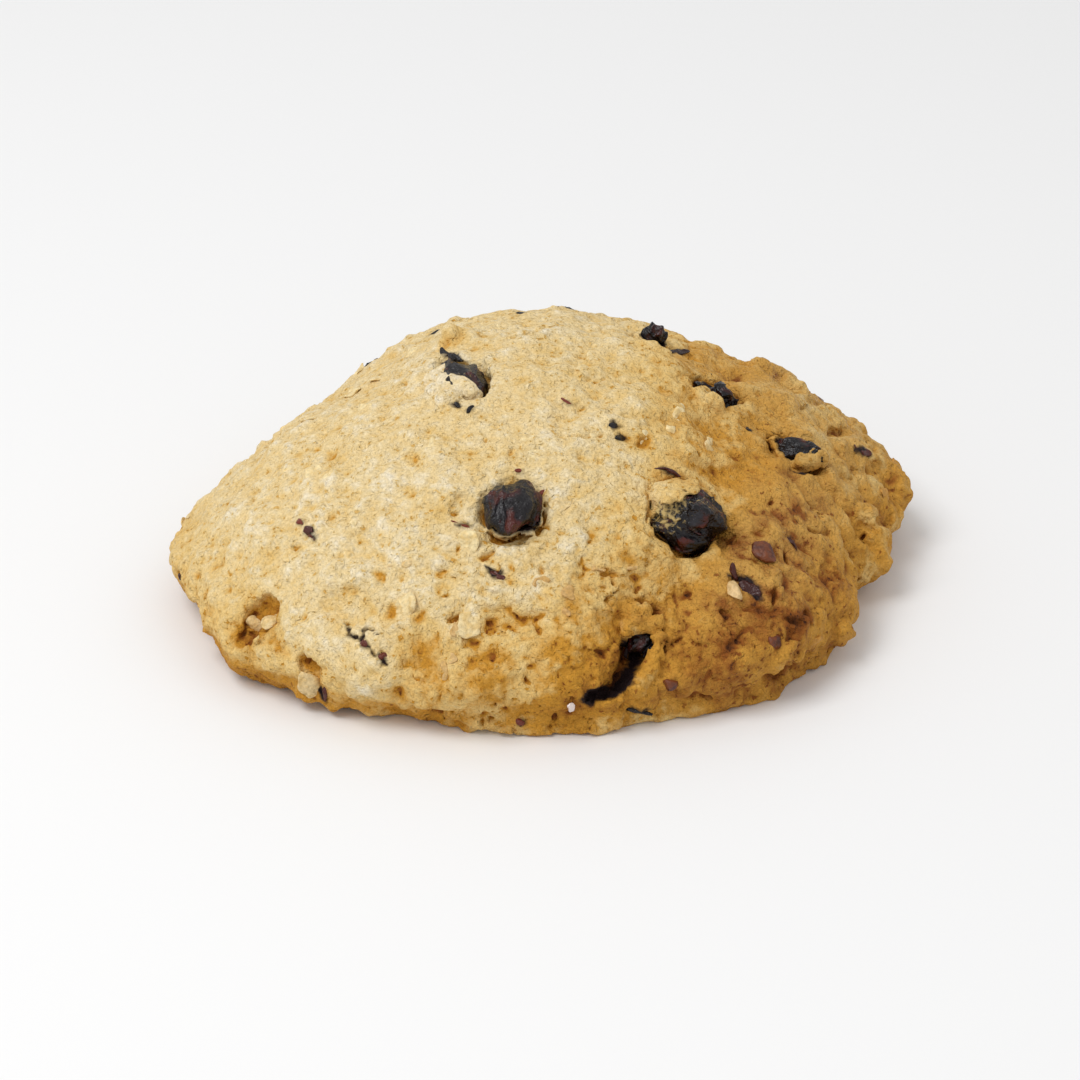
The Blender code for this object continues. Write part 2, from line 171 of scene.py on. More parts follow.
class Grain:
    """Seeded noise in space, the same every run; it repeats after a period of cells."""

    PERIOD = 32

    def __init__(self, seed: int) -> None:
        """Draw the lattices that the noise is read from.

        Args:
            seed: The start of its chances.
        """
        rng = np.random.default_rng(seed)
        self.heights = rng.uniform(-1.0, 1.0, self.PERIOD ** 3).astype(np.float32)
        self.points = rng.uniform(0.0, 1.0, (self.PERIOD ** 3, 3)).astype(np.float32)
        self.turn = np.linalg.qr(rng.normal(size=(3, 3)))[0].astype(np.float32)

    @in_parts
    def soft(self, places: np.ndarray, size: float) -> np.ndarray:
        """Work out smooth noise.

        Args:
            places: Points in millimetres, one a row.
            size: The width of one bump in millimetres.

        Returns:
            A number from -1 to 1 for each point.
        """
        scaled = (places.astype(np.float32) @ self.turn) / np.float32(size)
        cell = np.floor(scaled)
        share = scaled - cell
        share = share * share * share * (share * (share * 6.0 - 15.0) + 10.0)
        first = cell.astype(np.int32) % self.PERIOD
        after = (first + 1) % self.PERIOD
        rows = []
        for x in (first[:, 0], after[:, 0]):
            for y in (first[:, 1], after[:, 1]):
                base = (x * self.PERIOD + y) * self.PERIOD
                near = self.heights[base + first[:, 2]]
                rows.append(near + (self.heights[base + after[:, 2]] - near) * share[:, 2])
        front = rows[0] + (rows[1] - rows[0]) * share[:, 1]
        back = rows[2] + (rows[3] - rows[2]) * share[:, 1]
        return front + (back - front) * share[:, 0]

    def shifts(self, places: np.ndarray, size: float) -> np.ndarray:
        """Return noise in all three directions, one row for each point."""
        return np.stack([self.soft(places + start, size) for start in (0.0, 31.0, 67.0)], axis=1)

    def layers(self, places: np.ndarray, size: float, count: int) -> np.ndarray:
        """Add up layers of smooth noise, each half the size and height of the one before.

        Args:
            places: Points in millimetres, one a row.
            size: The width of one bump of the first layer, in millimetres.
            count: How many layers.

        Returns:
            A number for each point.
        """
        total = np.zeros(len(places), np.float32)
        for number in range(count):
            total += 0.5 ** number * self.soft(places + 17.3 * number, size * 0.5 ** number)
        return total

    @in_parts
    def cells(self, places: np.ndarray, size: float) -> np.ndarray:
        """Measure to the nearest of many scattered points.

        Args:
            places: Points in millimetres, one a row.
            size: How far apart the scattered points are, in millimetres.

        Returns:
            A distance in cell sizes for each point.
        """
        scaled = (places.astype(np.float32) @ self.turn) / np.float32(size)
        cell = np.floor(scaled).astype(np.int32)
        nearest = np.full(len(places), 9.0, np.float32)
        for corner in np.ndindex(3, 3, 3):
            neighbour = cell + (np.array(corner, np.int32) - 1)
            x, y, z = (neighbour % self.PERIOD).T
            away = neighbour + self.points[(x * self.PERIOD + y) * self.PERIOD + z] - scaled
            nearest = np.minimum(nearest, np.einsum("ij,ij->i", away, away))
        return np.sqrt(nearest)


# ---------------------------------------------------------------- places on a surface


@dataclass(frozen=True)
class Seat:
    """A place with directions of its own: along, across and outward.

    Attributes:
        middle: Its place in millimetres.
        axes: The three directions, one a row.
    """

    middle: np.ndarray
    axes: np.ndarray

    @classmethod
    def facing(cls, middle: np.ndarray, out: np.ndarray, turn: float = 0.0) -> "Seat":
        """Return a seat on a surface.

        Args:
            middle: Its place in millimetres.
            out: The surface's normal.
            turn: How far its length is turned from the cookie's own, in degrees.

        Returns:
            The seat.
        """
        level = np.cross(out, (0.0, -1.0, 0.0))
        along = level / max(float(np.linalg.norm(level)), 1e-6)
        angle = math.radians(turn)
        first = math.cos(angle) * along + math.sin(angle) * np.cross(out, along)
        return cls(middle, np.array((first, np.cross(out, first), out)))

    def raised(self, height: float) -> "Seat":
        """Return the seat moved outward."""
        return Seat(self.middle + height * self.axes[2], self.axes)

    def tilted(self, angle: float) -> "Seat":
        """Return the seat turned about its own width, by an angle in degrees."""
        dip = Matrix.Rotation(math.radians(angle), 3, Vector(self.axes[1]))
        return Seat(self.middle, self.axes @ np.array(dip).T)


@dataclass(frozen=True)
class Spot:
    """One feature with a place of its own.

    Attributes:
        place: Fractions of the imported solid's box.
        radii: Half its length, width and thickness in millimetres.
        turn: How far it is turned round the surface's normal, in degrees from the cookie's length.
        lift: How far its middle is above the surface, in millimetres.
        tilt: How far its far end dips, in degrees.
        tone: Where it lies between the two colours of its finish, from 0 to 1.
        bend: How strongly it curves sideways, for each millimetre of length.
    """

    place: Triple
    radii: Triple
    turn: float = 0.0
    lift: float = 0.0
    tilt: float = 0.0
    tone: float = 0.0
    bend: float = 0.0

    def middle(self) -> np.ndarray:
        """Return the place in millimetres."""
        return from_shares(self.place)


# ---------------------------------------------------------------- solids as distance fields


@dataclass
class Body:
    """A solid as signed distances on a grid: below zero inside it, in millimetres.

    Attributes:
        step: The grid's spacing in millimetres.
        corner: Where its first point is.
        values: The distances.
    """

    # How far past an ellipsoid and its blend the grid is changed, in millimetres.
    MARGIN: ClassVar[float] = 0.6
    # How high above the floor scattered features start, in millimetres.
    LOWEST: ClassVar[float] = 0.8

    step: float
    corner: np.ndarray
    values: np.ndarray

    @classmethod
    def from_node(cls, name: str, step: float, band: float) -> "Body":
        """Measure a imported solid.

        Args:
            name: Its node.
            step: The grid's spacing in millimetres.
            band: How far from the surface the distances are kept, in millimetres.

        Returns:
            The solid.
        """
        points, triangles = node_mesh(name)
        grid = vdb.FloatGrid.createLevelSetFromPolygons(
            points.astype(np.float32), triangles=triangles.astype(np.uint32),
            transform=vdb.createLinearTransform(voxelSize=step), halfWidth=band / step)
        low, high = (np.array(corner) for corner in grid.evalActiveVoxelBoundingBox())
        low -= 2
        values = np.zeros(tuple(high - low + 3), np.float32)
        grid.copyToArray(values, ijk=tuple(int(i) for i in low))
        return cls(step, low * step, values)

    def near(self, reach: float) -> np.ndarray:
        """Return the numbers of the grid points within a reach of the surface."""
        return np.flatnonzero(np.abs(self.values.ravel()) < reach)

    def places(self, numbers: np.ndarray) -> np.ndarray:
        """Return where grid points are, in millimetres, one a row."""
        index = np.stack(np.unravel_index(numbers, self.values.shape), axis=1)
        return (index * self.step + self.corner).astype(np.float32)

    def sink(self, numbers: np.ndarray, depth: np.ndarray) -> None:
        """Move the surface inward near some grid points, or outward where the depth is below zero."""
        self.values.ravel()[numbers] += depth.astype(np.float32)

    def blurred(self, width: float) -> np.ndarray:
        """Blur the distances, which rounds off what is finer than a width.

        Args:
            width: The width in millimetres.

        Returns:
            The blurred distances, on the same grid.
        """
        reach = max(1, round(width / self.step))
        span = 2 * reach + 1
        values = self.values
        for axis in range(3):
            values = np.moveaxis(values, axis, 0)
            for _ in range(2):
                padded = np.pad(values, ((reach + 1, reach), (0, 0), (0, 0)), mode="edge")
                total = np.cumsum(padded, axis=0, dtype=np.float64)
                values = ((total[span:] - total[:-span]) / span).astype(np.float32)
            values = np.moveaxis(values, 0, axis)
        return np.ascontiguousarray(values)

    @in_parts
    def read(self, places: np.ndarray, values: np.ndarray | None = None) -> np.ndarray:
        """Read the distance at any points, between the grid's own.

        Args:
            places: Points in millimetres, one a row.
            values: Other numbers on the same grid, to read in place of the distances.

        Returns:
            A distance for each point.
        """
        source = self.values if values is None else values
        scaled = (places - self.corner) / self.step
        limit = np.array(source.shape) - 2
        cell = np.clip(np.floor(scaled).astype(np.int64), 0, limit)
        share = np.clip(scaled - cell, 0.0, 1.0)
        flat = source.ravel()
        deep = source.shape[2]
        wide = source.shape[1] * deep
        base = cell[:, 0] * wide + cell[:, 1] * deep + cell[:, 2]
        rows = []
        for start in (base, base + deep, base + wide, base + wide + deep):
            rows.append(flat[start] + (flat[start + 1] - flat[start]) * share[:, 2])
        front = rows[0] + (rows[1] - rows[0]) * share[:, 1]
        back = rows[2] + (rows[3] - rows[2]) * share[:, 1]
        return front + (back - front) * share[:, 0]

    def block(self, middle: np.ndarray, reach: float) -> tuple[GridPart, np.ndarray]:
        """Pick out the grid round a point.

        Args:
            middle: The point.
            reach: How far the part reaches from it, in millimetres.

        Returns:
            The part, and how far its own points are from that one.
        """
        first = np.floor((middle - reach - self.corner) / self.step).astype(int)
        last = np.ceil((middle + reach - self.corner) / self.step).astype(int) + 1
        first = np.clip(first, 0, self.values.shape)
        last = np.clip(last, first, self.values.shape)
        part = tuple(slice(a, b) for a, b in zip(first, last))
        axes = [np.arange(a, b) * self.step + c - m
                for a, b, c, m in zip(first, last, self.corner, middle)]
        return part, np.stack(np.meshgrid(*axes, indexing="ij"), axis=-1)

    def ellipsoid(self, seat: Seat, radii: Sequence[float],
                  margin: float) -> tuple[GridPart, np.ndarray]:
        """Measure to an ellipsoid.

        Args:
            seat: Its middle and directions.
            radii: Half its length, width and thickness in millimetres.
            margin: How far beyond it the part of the grid reaches, in millimetres.

        Returns:
            The part of the grid round it, and the distances there.
        """
        part, away = self.block(seat.middle, max(radii) + margin)
        local = away @ seat.axes.T / np.array(radii)
        size = np.linalg.norm(local, axis=-1)
        slope = np.linalg.norm(local / np.array(radii), axis=-1)
        return part, (size * (size - 1.0) / np.maximum(slope, 1e-6)).astype(np.float32)

    def join(self, seat: Seat, radii: Sequence[float], blend: float) -> None:
        """Add an ellipsoid to the solid, with its join rounded over a blend width."""
        part, distance = self.ellipsoid(seat, radii, blend + self.MARGIN)
        self.values[part] = smooth_min(self.values[part], distance, blend)

    def carve(self, seat: Seat, radii: Sequence[float], blend: float) -> None:
        """Take an ellipsoid out of the solid, with its lip rounded over a blend width."""
        part, distance = self.ellipsoid(seat, radii, blend + self.MARGIN)
        self.values[part] = smooth_max(self.values[part], -distance, blend)

    def outward(self, places: np.ndarray) -> np.ndarray:
        """Work out which way the surface faces.

        Args:
            places: Points on it or near it, one a row.

        Returns:
            The outward direction at each point.
        """
        slope = np.empty((len(places), 3))
        for axis, move in enumerate(np.eye(3) * 1.5 * self.step):
            slope[:, axis] = self.read(places + move) - self.read(places - move)
        return slope / np.maximum(np.linalg.norm(slope, axis=1, keepdims=True), 1e-6)

    def settled(self, places: np.ndarray) -> np.ndarray:
        """Move points onto the surface.

        Args:
            places: Points near it, one a row.

        Returns:
            The nearest points on it.
        """
        for _ in range(3):
            places = places - self.read(places)[:, None] * self.outward(places)
        return places

    def seat(self, spot: Spot) -> Seat:
        """Find where a spot lies on the surface.

        Args:
            spot: The feature.

        Returns:
            Its seat.
        """
        place = self.settled(spot.middle()[None])
        seat = Seat.facing(place[0], self.outward(place)[0], spot.turn)
        return seat.tilted(spot.tilt).raised(spot.lift)

    def scatter(self, rng: np.random.Generator, count: int, weight: Callable) -> np.ndarray:
        """Choose points on the surface.

        Args:
            rng: The source of chance.
            count: How many.
            weight: Gives the chance of each point.

        Returns:
            The points, one a row.
        """
        places = self.places(self.near(0.6 * self.step))
        places = places[places[:, 2] > self.LOWEST]
        chance = weight(places).astype(np.float64)
        chosen = rng.choice(len(places), count, replace=False, p=chance / chance.sum())
        return self.settled(places[chosen])

    def to_mesh(self) -> tuple[np.ndarray, np.ndarray]:
        """Turn the surface into a mesh.

        Returns:
            Its biggest part: points in millimetres and faces of four.
        """
        grid = vdb.FloatGrid(float(self.values.max()))
        grid.copyFromArray(self.values)
        points, quads = grid.convertToQuads(isovalue=0.0)
        return biggest_part(points * self.step + self.corner, quads[:, ::-1].astype(np.int64))


# ---------------------------------------------------------------- meshes


def node_mesh(name: str) -> tuple[np.ndarray, np.ndarray]:
    """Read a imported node's mesh.

    Args:
        name: The node.

    Returns:
        Its points in millimetres and its triangles.
    """
    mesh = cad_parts[name].data
    points = np.empty(len(mesh.vertices) * 3, np.float32)
    mesh.vertices.foreach_get("co", points)
    mesh.calc_loop_triangles()
    triangles = np.empty(len(mesh.loop_triangles) * 3, np.int32)
    mesh.loop_triangles.foreach_get("vertices", triangles)
    return points.reshape(-1, 3) / MM, triangles.reshape(-1, 3)


@cache
def berry_tree() -> KDTree:
    """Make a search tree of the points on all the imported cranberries.

    Returns:
        The tree, made once.
    """
    berries = np.concatenate([node_mesh(name)[0] for name in BERRY_NODES])
    tree = KDTree(len(berries))
    for number, point in enumerate(berries):
        tree.insert(point, number)
    tree.balance()
    return tree


def biggest_part(points: np.ndarray, faces: np.ndarray) -> tuple[np.ndarray, np.ndarray]:
    """Keep only the biggest connected part of a mesh.

    Args:
        points: Its points, one a row.
        faces: Its faces of four.

    Returns:
        The points and the faces that are left.
    """
    ends = np.concatenate([faces[:, [i, (i + 1) % 4]] for i in range(4)])
    label = np.arange(len(points))
    while True:
        least = np.minimum(label[ends[:, 0]], label[ends[:, 1]])
        fresh = label.copy()
        np.minimum.at(fresh, ends[:, 0], least)
        np.minimum.at(fresh, ends[:, 1], least)
        fresh = fresh[fresh]
        if np.array_equal(fresh, label):
            break
        label = fresh
    kept = label == np.bincount(label).argmax()
    number = np.cumsum(kept) - 1
    return points[kept], number[faces[kept[faces[:, 0]]]]


def make_piece(name: str, points: np.ndarray, faces: Sequence,
               material: bpy.types.Material) -> bpy.types.Object:
    """Make a smooth-shaded object.

    Args:
        name: The piece's name.
        points: Its points in millimetres.
        faces: Its faces, each a row of point numbers.
        material: Its finish.

    Returns:
        The piece.
    """
    mesh = bpy.data.meshes.new(name)
    mesh.from_pydata((np.asarray(points) * MM).tolist(), [], np.asarray(faces).tolist())
    mesh.shade_smooth()
    mesh.materials.append(material)
    piece = bpy.data.objects.new(name, mesh)
    bpy.context.scene.collection.objects.link(piece)
    return piece


def thin_out(piece: bpy.types.Object, triangles: int) -> None:
    """Bring a piece down to a number of triangles, the flat stretches first.

    Args:
        piece: The piece.
        triangles: The most that it may have.
    """
    now = sum(len(face.vertices) - 2 for face in piece.data.polygons)
    if now > triangles:
        modifier = piece.modifiers.new("thin_out", "DECIMATE")
        modifier.ratio = triangles / now
        depsgraph = bpy.context.evaluated_depsgraph_get()
        mesh = bpy.data.meshes.new_from_object(piece.evaluated_get(depsgraph))
        piece.modifiers.clear()
        old = piece.data
        piece.data = mesh
        bpy.data.meshes.remove(old)


def mesh_points(piece: bpy.types.Object) -> np.ndarray:
    """Read where a piece's points are.

    Args:
        piece: The piece.

    Returns:
        The points in millimetres, one a row.
    """
    points = np.empty(len(piece.data.vertices) * 3, np.float32)
    piece.data.vertices.foreach_get("co", points)
    return points.reshape(-1, 3) / MM


def keep_inside(piece: bpy.types.Object) -> None:
    """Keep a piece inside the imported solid's box, flat where it lies.

    Args:
        piece: The piece.
    """
    points = np.clip(mesh_points(piece), LOW, HIGH)
    piece.data.vertices.foreach_set("co", (points * MM).ravel().astype(np.float32))
    piece.data.update()


def paint(piece: bpy.types.Object, name: str, values: np.ndarray) -> None:
    """Give each of a piece's points a number that its finish reads by name."""
    layer = piece.data.attributes.new(name, "FLOAT", "POINT")
    layer.data.foreach_set("value", np.asarray(values, np.float32))


# ---------------------------------------------------------------- finishes


def add_node(tree: bpy.types.NodeTree, kind: str, inputs: dict[Any, Any] | None = None,
             **settings: Any) -> Any:
    """Add a node to a tree.

    Args:
        tree: The tree that gets the node.
        kind: The node's type name.
        inputs: Sockets by name or number, each with a value or with the output that feeds it.
        settings: The node's own properties.

    Returns:
        The new node.
    """
    node = tree.nodes.new(kind)
    for name, value in settings.items():
        setattr(node, name, value)
    for socket, value in (inputs or {}).items():
        if isinstance(value, bpy.types.NodeSocket):
            tree.links.new(value, node.inputs[socket])
        else:
            node.inputs[socket].default_value = value
    return node


@dataclass
class Finish:
    """A material being made, with its texture coordinates in millimetres."""

    name: str
    material: bpy.types.Material = field(init=False)
    tree: bpy.types.NodeTree = field(init=False)
    shader: bpy.types.Node = field(init=False)
    place: bpy.types.NodeSocket = field(init=False)

    def __post_init__(self) -> None:
        """Start the material."""
        self.material = bpy.data.materials.new(self.name)
        self.material.use_nodes = True
        self.tree = self.material.node_tree
        self.shader = self.tree.nodes["Principled BSDF"]
        place = add_node(self.tree, "ShaderNodeTexCoord").outputs["Object"]
        self.place = add_node(self.tree, "ShaderNodeVectorMath", {0: place, "Scale": 1.0 / MM},
                              operation="SCALE").outputs[0]

    def painted(self, name: str) -> bpy.types.NodeSocket:
        """Return a number painted on the mesh."""
        return add_node(self.tree, "ShaderNodeAttribute", attribute_name=name).outputs["Fac"]

    def grain(self, size: float, detail: float) -> bpy.types.NodeSocket:
        """Return noise from about 0.25 to 0.75 whose spots are about a size across, in millimetres."""
        inputs = {"Vector": self.place, "Scale": 1.0 / size, "Detail": detail}
        return add_node(self.tree, "ShaderNodeTexNoise", inputs).outputs[0]

    def share(self, value: bpy.types.NodeSocket, low: float, high: float) -> bpy.types.NodeSocket:
        """Turn a value into a share.

        Args:
            value: The value.
            low: Below this the share is 0.
            high: Above this it is 1, with a smooth rise between.

        Returns:
            The share.
        """
        inputs = {"Value": value, "From Min": low, "From Max": high}
        ramp = add_node(self.tree, "ShaderNodeMapRange", inputs, interpolation_type="SMOOTHSTEP")
        return ramp.outputs[0]

    def hairlines(self, size: float, width: float) -> bpy.types.NodeSocket:
        """Draw short wandering lines.

        Args:
            size: How far the lines run before they turn, in millimetres.
            width: About half their width, in millimetres.

        Returns:
            1 on the lines and 0 away from them.
        """
        level = add_node(self.tree, "ShaderNodeMath", {0: self.total(self.grain(size, 2.0), 1.0, -0.5)},
                         operation="ABSOLUTE").outputs[0]
        line = self.share(level, 0.5 * width / size, 0.0)
        kept = self.share(self.grain(0.8 * size, 3.0), 0.54, 0.64)
        return self.total(line, kept, 0.0)

    def total(self, value: bpy.types.NodeSocket, factor: Any, base: Any) -> bpy.types.NodeSocket:
        """Return a base plus a value times a factor."""
        return add_node(self.tree, "ShaderNodeMath", {0: value, 1: factor, 2: base},
                        operation="MULTIPLY_ADD").outputs[0]

    def blend(self, share: Any, first: Any, second: Any, how: str = "MIX") -> bpy.types.NodeSocket:
        """Return one colour turned into another by a share."""
        return add_node(self.tree, "ShaderNodeMix", {0: share, 6: first, 7: second},
                        data_type="RGBA", blend_type=how).outputs[2]

    def mottled(self, size: float, low: float, high: float, first: str,
                second: str) -> bpy.types.NodeSocket:
        """Spot one colour with another.

        Args:
            size: How big the spots are, in millimetres.
            low: The noise at which the second colour starts.
            high: The noise at which it is full.
            first: The colour between the spots.
            second: The colour of the spots.

        Returns:
            The colour.
        """
        return self.blend(self.share(self.grain(size, 3.0), low, high), linear(first), linear(second))

    def deepened(self, value: bpy.types.NodeSocket, colour: Any, steps: Sequence[tuple]) -> Any:
        """Turn a colour into others, one after another, as a value rises.

        Args:
            value: The value.
            colour: The colour before the first step.
            steps: For each step its colour, and the values at which it starts and is full.

        Returns:
            The colour.
        """
        for tone, start, full in steps:
            colour = self.blend(self.share(value, start, full), colour, linear(tone))
        return colour

    def grained(self, colour: Any, grain: bpy.types.NodeSocket, swing: float, base: float) -> Any:
        """Return a colour made lighter and darker by noise, from a base share of it upward."""
        return self.blend(1.0, colour, self.total(grain, swing, base), "MULTIPLY")

    def bump(self, height: bpy.types.NodeSocket, depth: float, strength: float,
             under: Any = None) -> bpy.types.NodeSocket:
        """Bend the surface's direction by a height.

        Args:
            height: The noise that gives the height.
            depth: How deep a change of 1 in it is, in millimetres.
            strength: How much of it shows, from 0 to 1.
            under: Another bump that this one lies over.

        Returns:
            The bent direction.
        """
        inputs = {"Strength": strength, "Distance": depth * MM, "Height": height}
        if under is not None:
            inputs["Normal"] = under
        return add_node(self.tree, "ShaderNodeBump", inputs).outputs[0]

    def done(self, colour: Any, normal: Any, roughness: Any, ior: float,
             specular: float) -> bpy.types.Material:
        """Set the shader.

        Args:
            colour: A colour or the output that gives it.
            normal: The output that gives the surface's direction.
            roughness: From 0 for a mirror to 1 for chalk, or the output that gives it.
            ior: How strongly the surface layer bends light.
            specular: The strength of its gloss.

        Returns:
            The material.
        """
        for socket, value in (("Base Color", colour), ("Normal", normal), ("Roughness", roughness)):
            if isinstance(value, bpy.types.NodeSocket):
                self.tree.links.new(value, self.shader.inputs[socket])
            else:
                self.shader.inputs[socket].default_value = value
        self.shader.inputs["IOR"].default_value = ior
        self.shader.inputs["Specular IOR Level"].default_value = specular
        return self.material


@dataclass(frozen=True)
class BakedDough:
    """Oat dough baked dry: matt and floury on top, golden to brown where the oven caught it.

    Its colours run from flour to burnt; the sizes are those of its patterns, in millimetres.
    """

    floured: str = "#EEE2C8"
    cream: str = "#E6CF9E"
    straw: str = "#DFBC77"
    gold: str = "#C48B2D"
    tan: str = "#C69E58"
    brown: str = "#874C13"
    burnt: str = "#45210A"
    stain_and_shade: str = "#1F0F10"
    mottle_size: float = 6.0
    clump_size: float = 2.2
    crumb_size: float = 0.9
    flour_size: float = 0.38
    crack_size: float = 4.0
    crack_width: float = 0.2
    hole_size: float = 0.9

    def make(self) -> bpy.types.Material:
        """Make the material.

        Returns:
            The material.
        """
        finish = Finish("baked_oat_dough")
        crumb = finish.grain(self.crumb_size, 3.0)
        flour = finish.grain(self.flour_size, 2.0)
        # Oven colour: what the oven did, broken up by patches, clumps and grains, and deeper in the
        # hollows, partly as painted shade.
        browned_and_shaded = finish.total(finish.grain(self.mottle_size, 4.0), 0.5, finish.painted("bake_and_shading"))
        browned_and_shaded = finish.total(finish.grain(self.clump_size, 4.0), 0.5, browned_and_shaded)
        browned_and_shaded = finish.total(crumb, 0.42, browned_and_shaded)
        # Hollows painted darker and browner: partly the oven's colour, partly painted shade.
        browned_and_shaded = finish.total(finish.painted("hollow_shade_and_browning"), 0.75, browned_and_shaded)
        # Hairline cracks and pinholes, painted darker inside: partly the oven's colour, partly painted
        # shade.
        cracks = finish.hairlines(self.crack_size, self.crack_width)
        holes = finish.share(finish.grain(self.hole_size, 2.0), 0.64, 0.7)
        browned_and_shaded = finish.total(cracks, 0.15, finish.total(holes, 0.3, browned_and_shaded))
        colour = finish.deepened(browned_and_shaded, linear(self.floured), (
            (self.cream, 0.4, 0.72), (self.straw, 0.6, 1.0), (self.gold, 0.9, 1.35)))
        colour = finish.blend(finish.total(finish.painted("wax"), 0.5, 0.0), colour, linear(self.tan))
        colour = finish.deepened(browned_and_shaded, colour, ((self.brown, 1.35, 1.95), (self.burnt, 1.9, 2.4)))
        # Near black where berry juice marks the dough and dark skin shows in the seams, and painted
        # shade on the walls of the split and of the gaps beside the berries.
        colour = finish.blend(finish.painted("stain_and_shade"), colour, linear(self.stain_and_shade))
        # Flour dust and single grains, lighter and darker than the dough round them.
        colour = finish.grained(colour, flour, 0.6, 0.7)
        normal = finish.bump(flour, 0.3, 0.9, finish.bump(crumb, 0.85, 0.9))
        normal = finish.bump(cracks, -0.1, 0.9, finish.bump(holes, -0.25, 0.9, normal))
        # The right side baked closer and a little waxy.
        roughness = finish.total(finish.painted("wax"), -0.25, 0.82)
        return finish.done(colour, normal, roughness, 1.45, 0.3)


@dataclass(frozen=True)
class RolledOat:
    """A rolled oat flake: pale and satin, toasted where the dough round it browned."""

    pale: str = "#EBD7A6"
    vein: str = "#DFC286"
    toasted: str = "#C08A3C"
    vein_size: float = 1.3
    grain_size: float = 0.5

    def make(self) -> bpy.types.Material:
        """Make the material.

        Returns:
            The material.
        """
        finish = Finish("rolled_oat")
        grain = finish.grain(self.grain_size, 3.0)
        colour = finish.mottled(self.vein_size, 0.4, 0.65, self.pale, self.vein)
        colour = finish.blend(finish.painted("tone"), colour, linear(self.toasted))
        colour = finish.grained(colour, grain, 0.9, 0.55)
        return finish.done(colour, finish.bump(grain, 0.35, 0.9), 0.65, 1.45, 0.35)


@dataclass(frozen=True)
class BerrySkin:
    """Dried cranberry skin: near black in the mass, dark red where a fold is thin, with a dull gloss."""

    skin: str = "#0E090D"
    bloom: str = "#2B282D"
    fold: str = "#4C1A12"
    sliver: str = "#74301F"
    film: str = "#BFA468"
    bloom_size: float = 2.2
    fold_size: float = 3.0
    grain_size: float = 0.6

    def make(self) -> bpy.types.Material:
        """Make the material.

        Returns:
            The material.
        """
        finish = Finish("dried_cranberry_skin")
        grain = finish.grain(self.grain_size, 3.0)
        colour = finish.mottled(self.bloom_size, 0.52, 0.75, self.skin, self.bloom)
        # Light gets through the ridges of some folds, and through a sliver.
        thin = finish.share(finish.grain(self.fold_size, 3.0), 0.5, 0.66)
        thin = finish.total(thin, finish.painted("ridge"), 0.0)
        colour = finish.blend(thin, colour, linear(self.fold))
        colour = finish.blend(finish.painted("tone"), colour, linear(self.sliver))
        # Dough clings to it in torn patches, and is duller than the skin.
        torn = finish.share(finish.total(grain, 1.2, finish.painted("film")), 0.95, 1.3)
        colour = finish.blend(torn, colour, linear(self.film))
        dull = finish.total(finish.painted("tone"), 0.25, finish.total(torn, 0.5, 0.16))
        return finish.done(colour, finish.bump(grain, 0.45, 0.9), dull, 1.5, 0.38)


@dataclass(frozen=True)
class NutFlesh:
    """Chopped nut with its skin on: cream where it is cut, red-brown and dull where the skin is."""

    flesh: str = "#D6B47E"
    skin: str = "#6E3614"
    dark: str = "#4A2114"
    patch_size: float = 1.4
    grain_size: float = 0.6

    def make(self) -> bpy.types.Material:
        """Make the material.

        Returns:
            The material.
        """
        finish = Finish("chopped_nut")
        grain = finish.grain(self.grain_size, 3.0)
        brown = finish.mottled(self.patch_size, 0.42, 0.68, self.skin, self.dark)
        colour = finish.blend(finish.painted("tone"), linear(self.flesh), brown)
        colour = finish.grained(colour, grain, 0.9, 0.55)
        return finish.done(colour, finish.bump(grain, 0.3, 0.9), 0.45, 1.47, 0.5)


@dataclass(frozen=True)
class SugarGrain:
    """A grain of coarse sugar: clear, pale and sharp, so it catches one bright point of light."""

    colour: str = "#FBEDE8"
    clearness: float = 0.35
    facet_size: float = 0.4

    def make(self) -> bpy.types.Material:
        """Make the material.

        Returns:
            The material.
        """
        finish = Finish("coarse_sugar")
        finish.shader.inputs["Transmission Weight"].default_value = self.clearness
        uneven = finish.bump(finish.grain(self.facet_size, 2.0), 0.1, 0.5)
        return finish.done(linear(self.colour), uneven, 0.15, 1.54, 0.5)


@dataclass(frozen=True)
class WhiteFloor:
    """A smooth white table: plain and pale, dull enough to show only a soft shadow."""

    colour: str = "#F0F0F0"
    wave_size: float = 30.0

    def make(self) -> bpy.types.Material:
        """Make the material.

        Returns:
            The material.
        """
        finish = Finish("white_table")
        uneven = finish.bump(finish.grain(self.wave_size, 2.0), 0.05, 0.2)
        return finish.done(linear(self.colour), uneven, 0.6, 1.45, 0.3)


# ---------------------------------------------------------------- cranberries


@dataclass(frozen=True)
class Film:
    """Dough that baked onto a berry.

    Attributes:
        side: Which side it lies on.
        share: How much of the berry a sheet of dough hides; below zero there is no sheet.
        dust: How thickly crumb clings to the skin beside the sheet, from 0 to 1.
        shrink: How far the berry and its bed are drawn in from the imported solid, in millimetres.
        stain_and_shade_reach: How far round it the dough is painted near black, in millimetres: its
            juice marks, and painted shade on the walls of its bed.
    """

    side: Triple = (-0.7, 0.2, 0.5)
    share: float = 0.15
    dust: float = 0.3
    shrink: float = 0.25
    stain_and_shade_reach: float = 0.05


FILMS = {
    "cranberry_front": Film((-0.6, -0.8, 0.0), -0.3, 0.05, 0.55, -0.15),
    "cranberry_right": Film((-0.7, 0.65, 0.5), 0.38, 0.6, 0.15),
    "cranberry_top_left": Film((-0.75, -0.65, 0.1), 0.34, 0.3, 0.2),
    "cranberry_peak": Film((0.2, -0.9, -0.1), -0.3, 0.3, 0.9),
    "cranberry_shoulder": Film((-0.3, -0.9, 0.1), 0.2, 0.2, 0.4),
    "cranberry_lobe": Film((0.9, -0.4, 0.2), 0.3, 0.25, 0.5),
    "cranberry_crack": Film((-0.5, 0.3, 0.8), -0.3, 0.0, 0.2, 0.5),
}


def film_on(node: str) -> Film:
    """Return the dough that baked onto a cranberry."""
    return FILMS.get(node, Film())


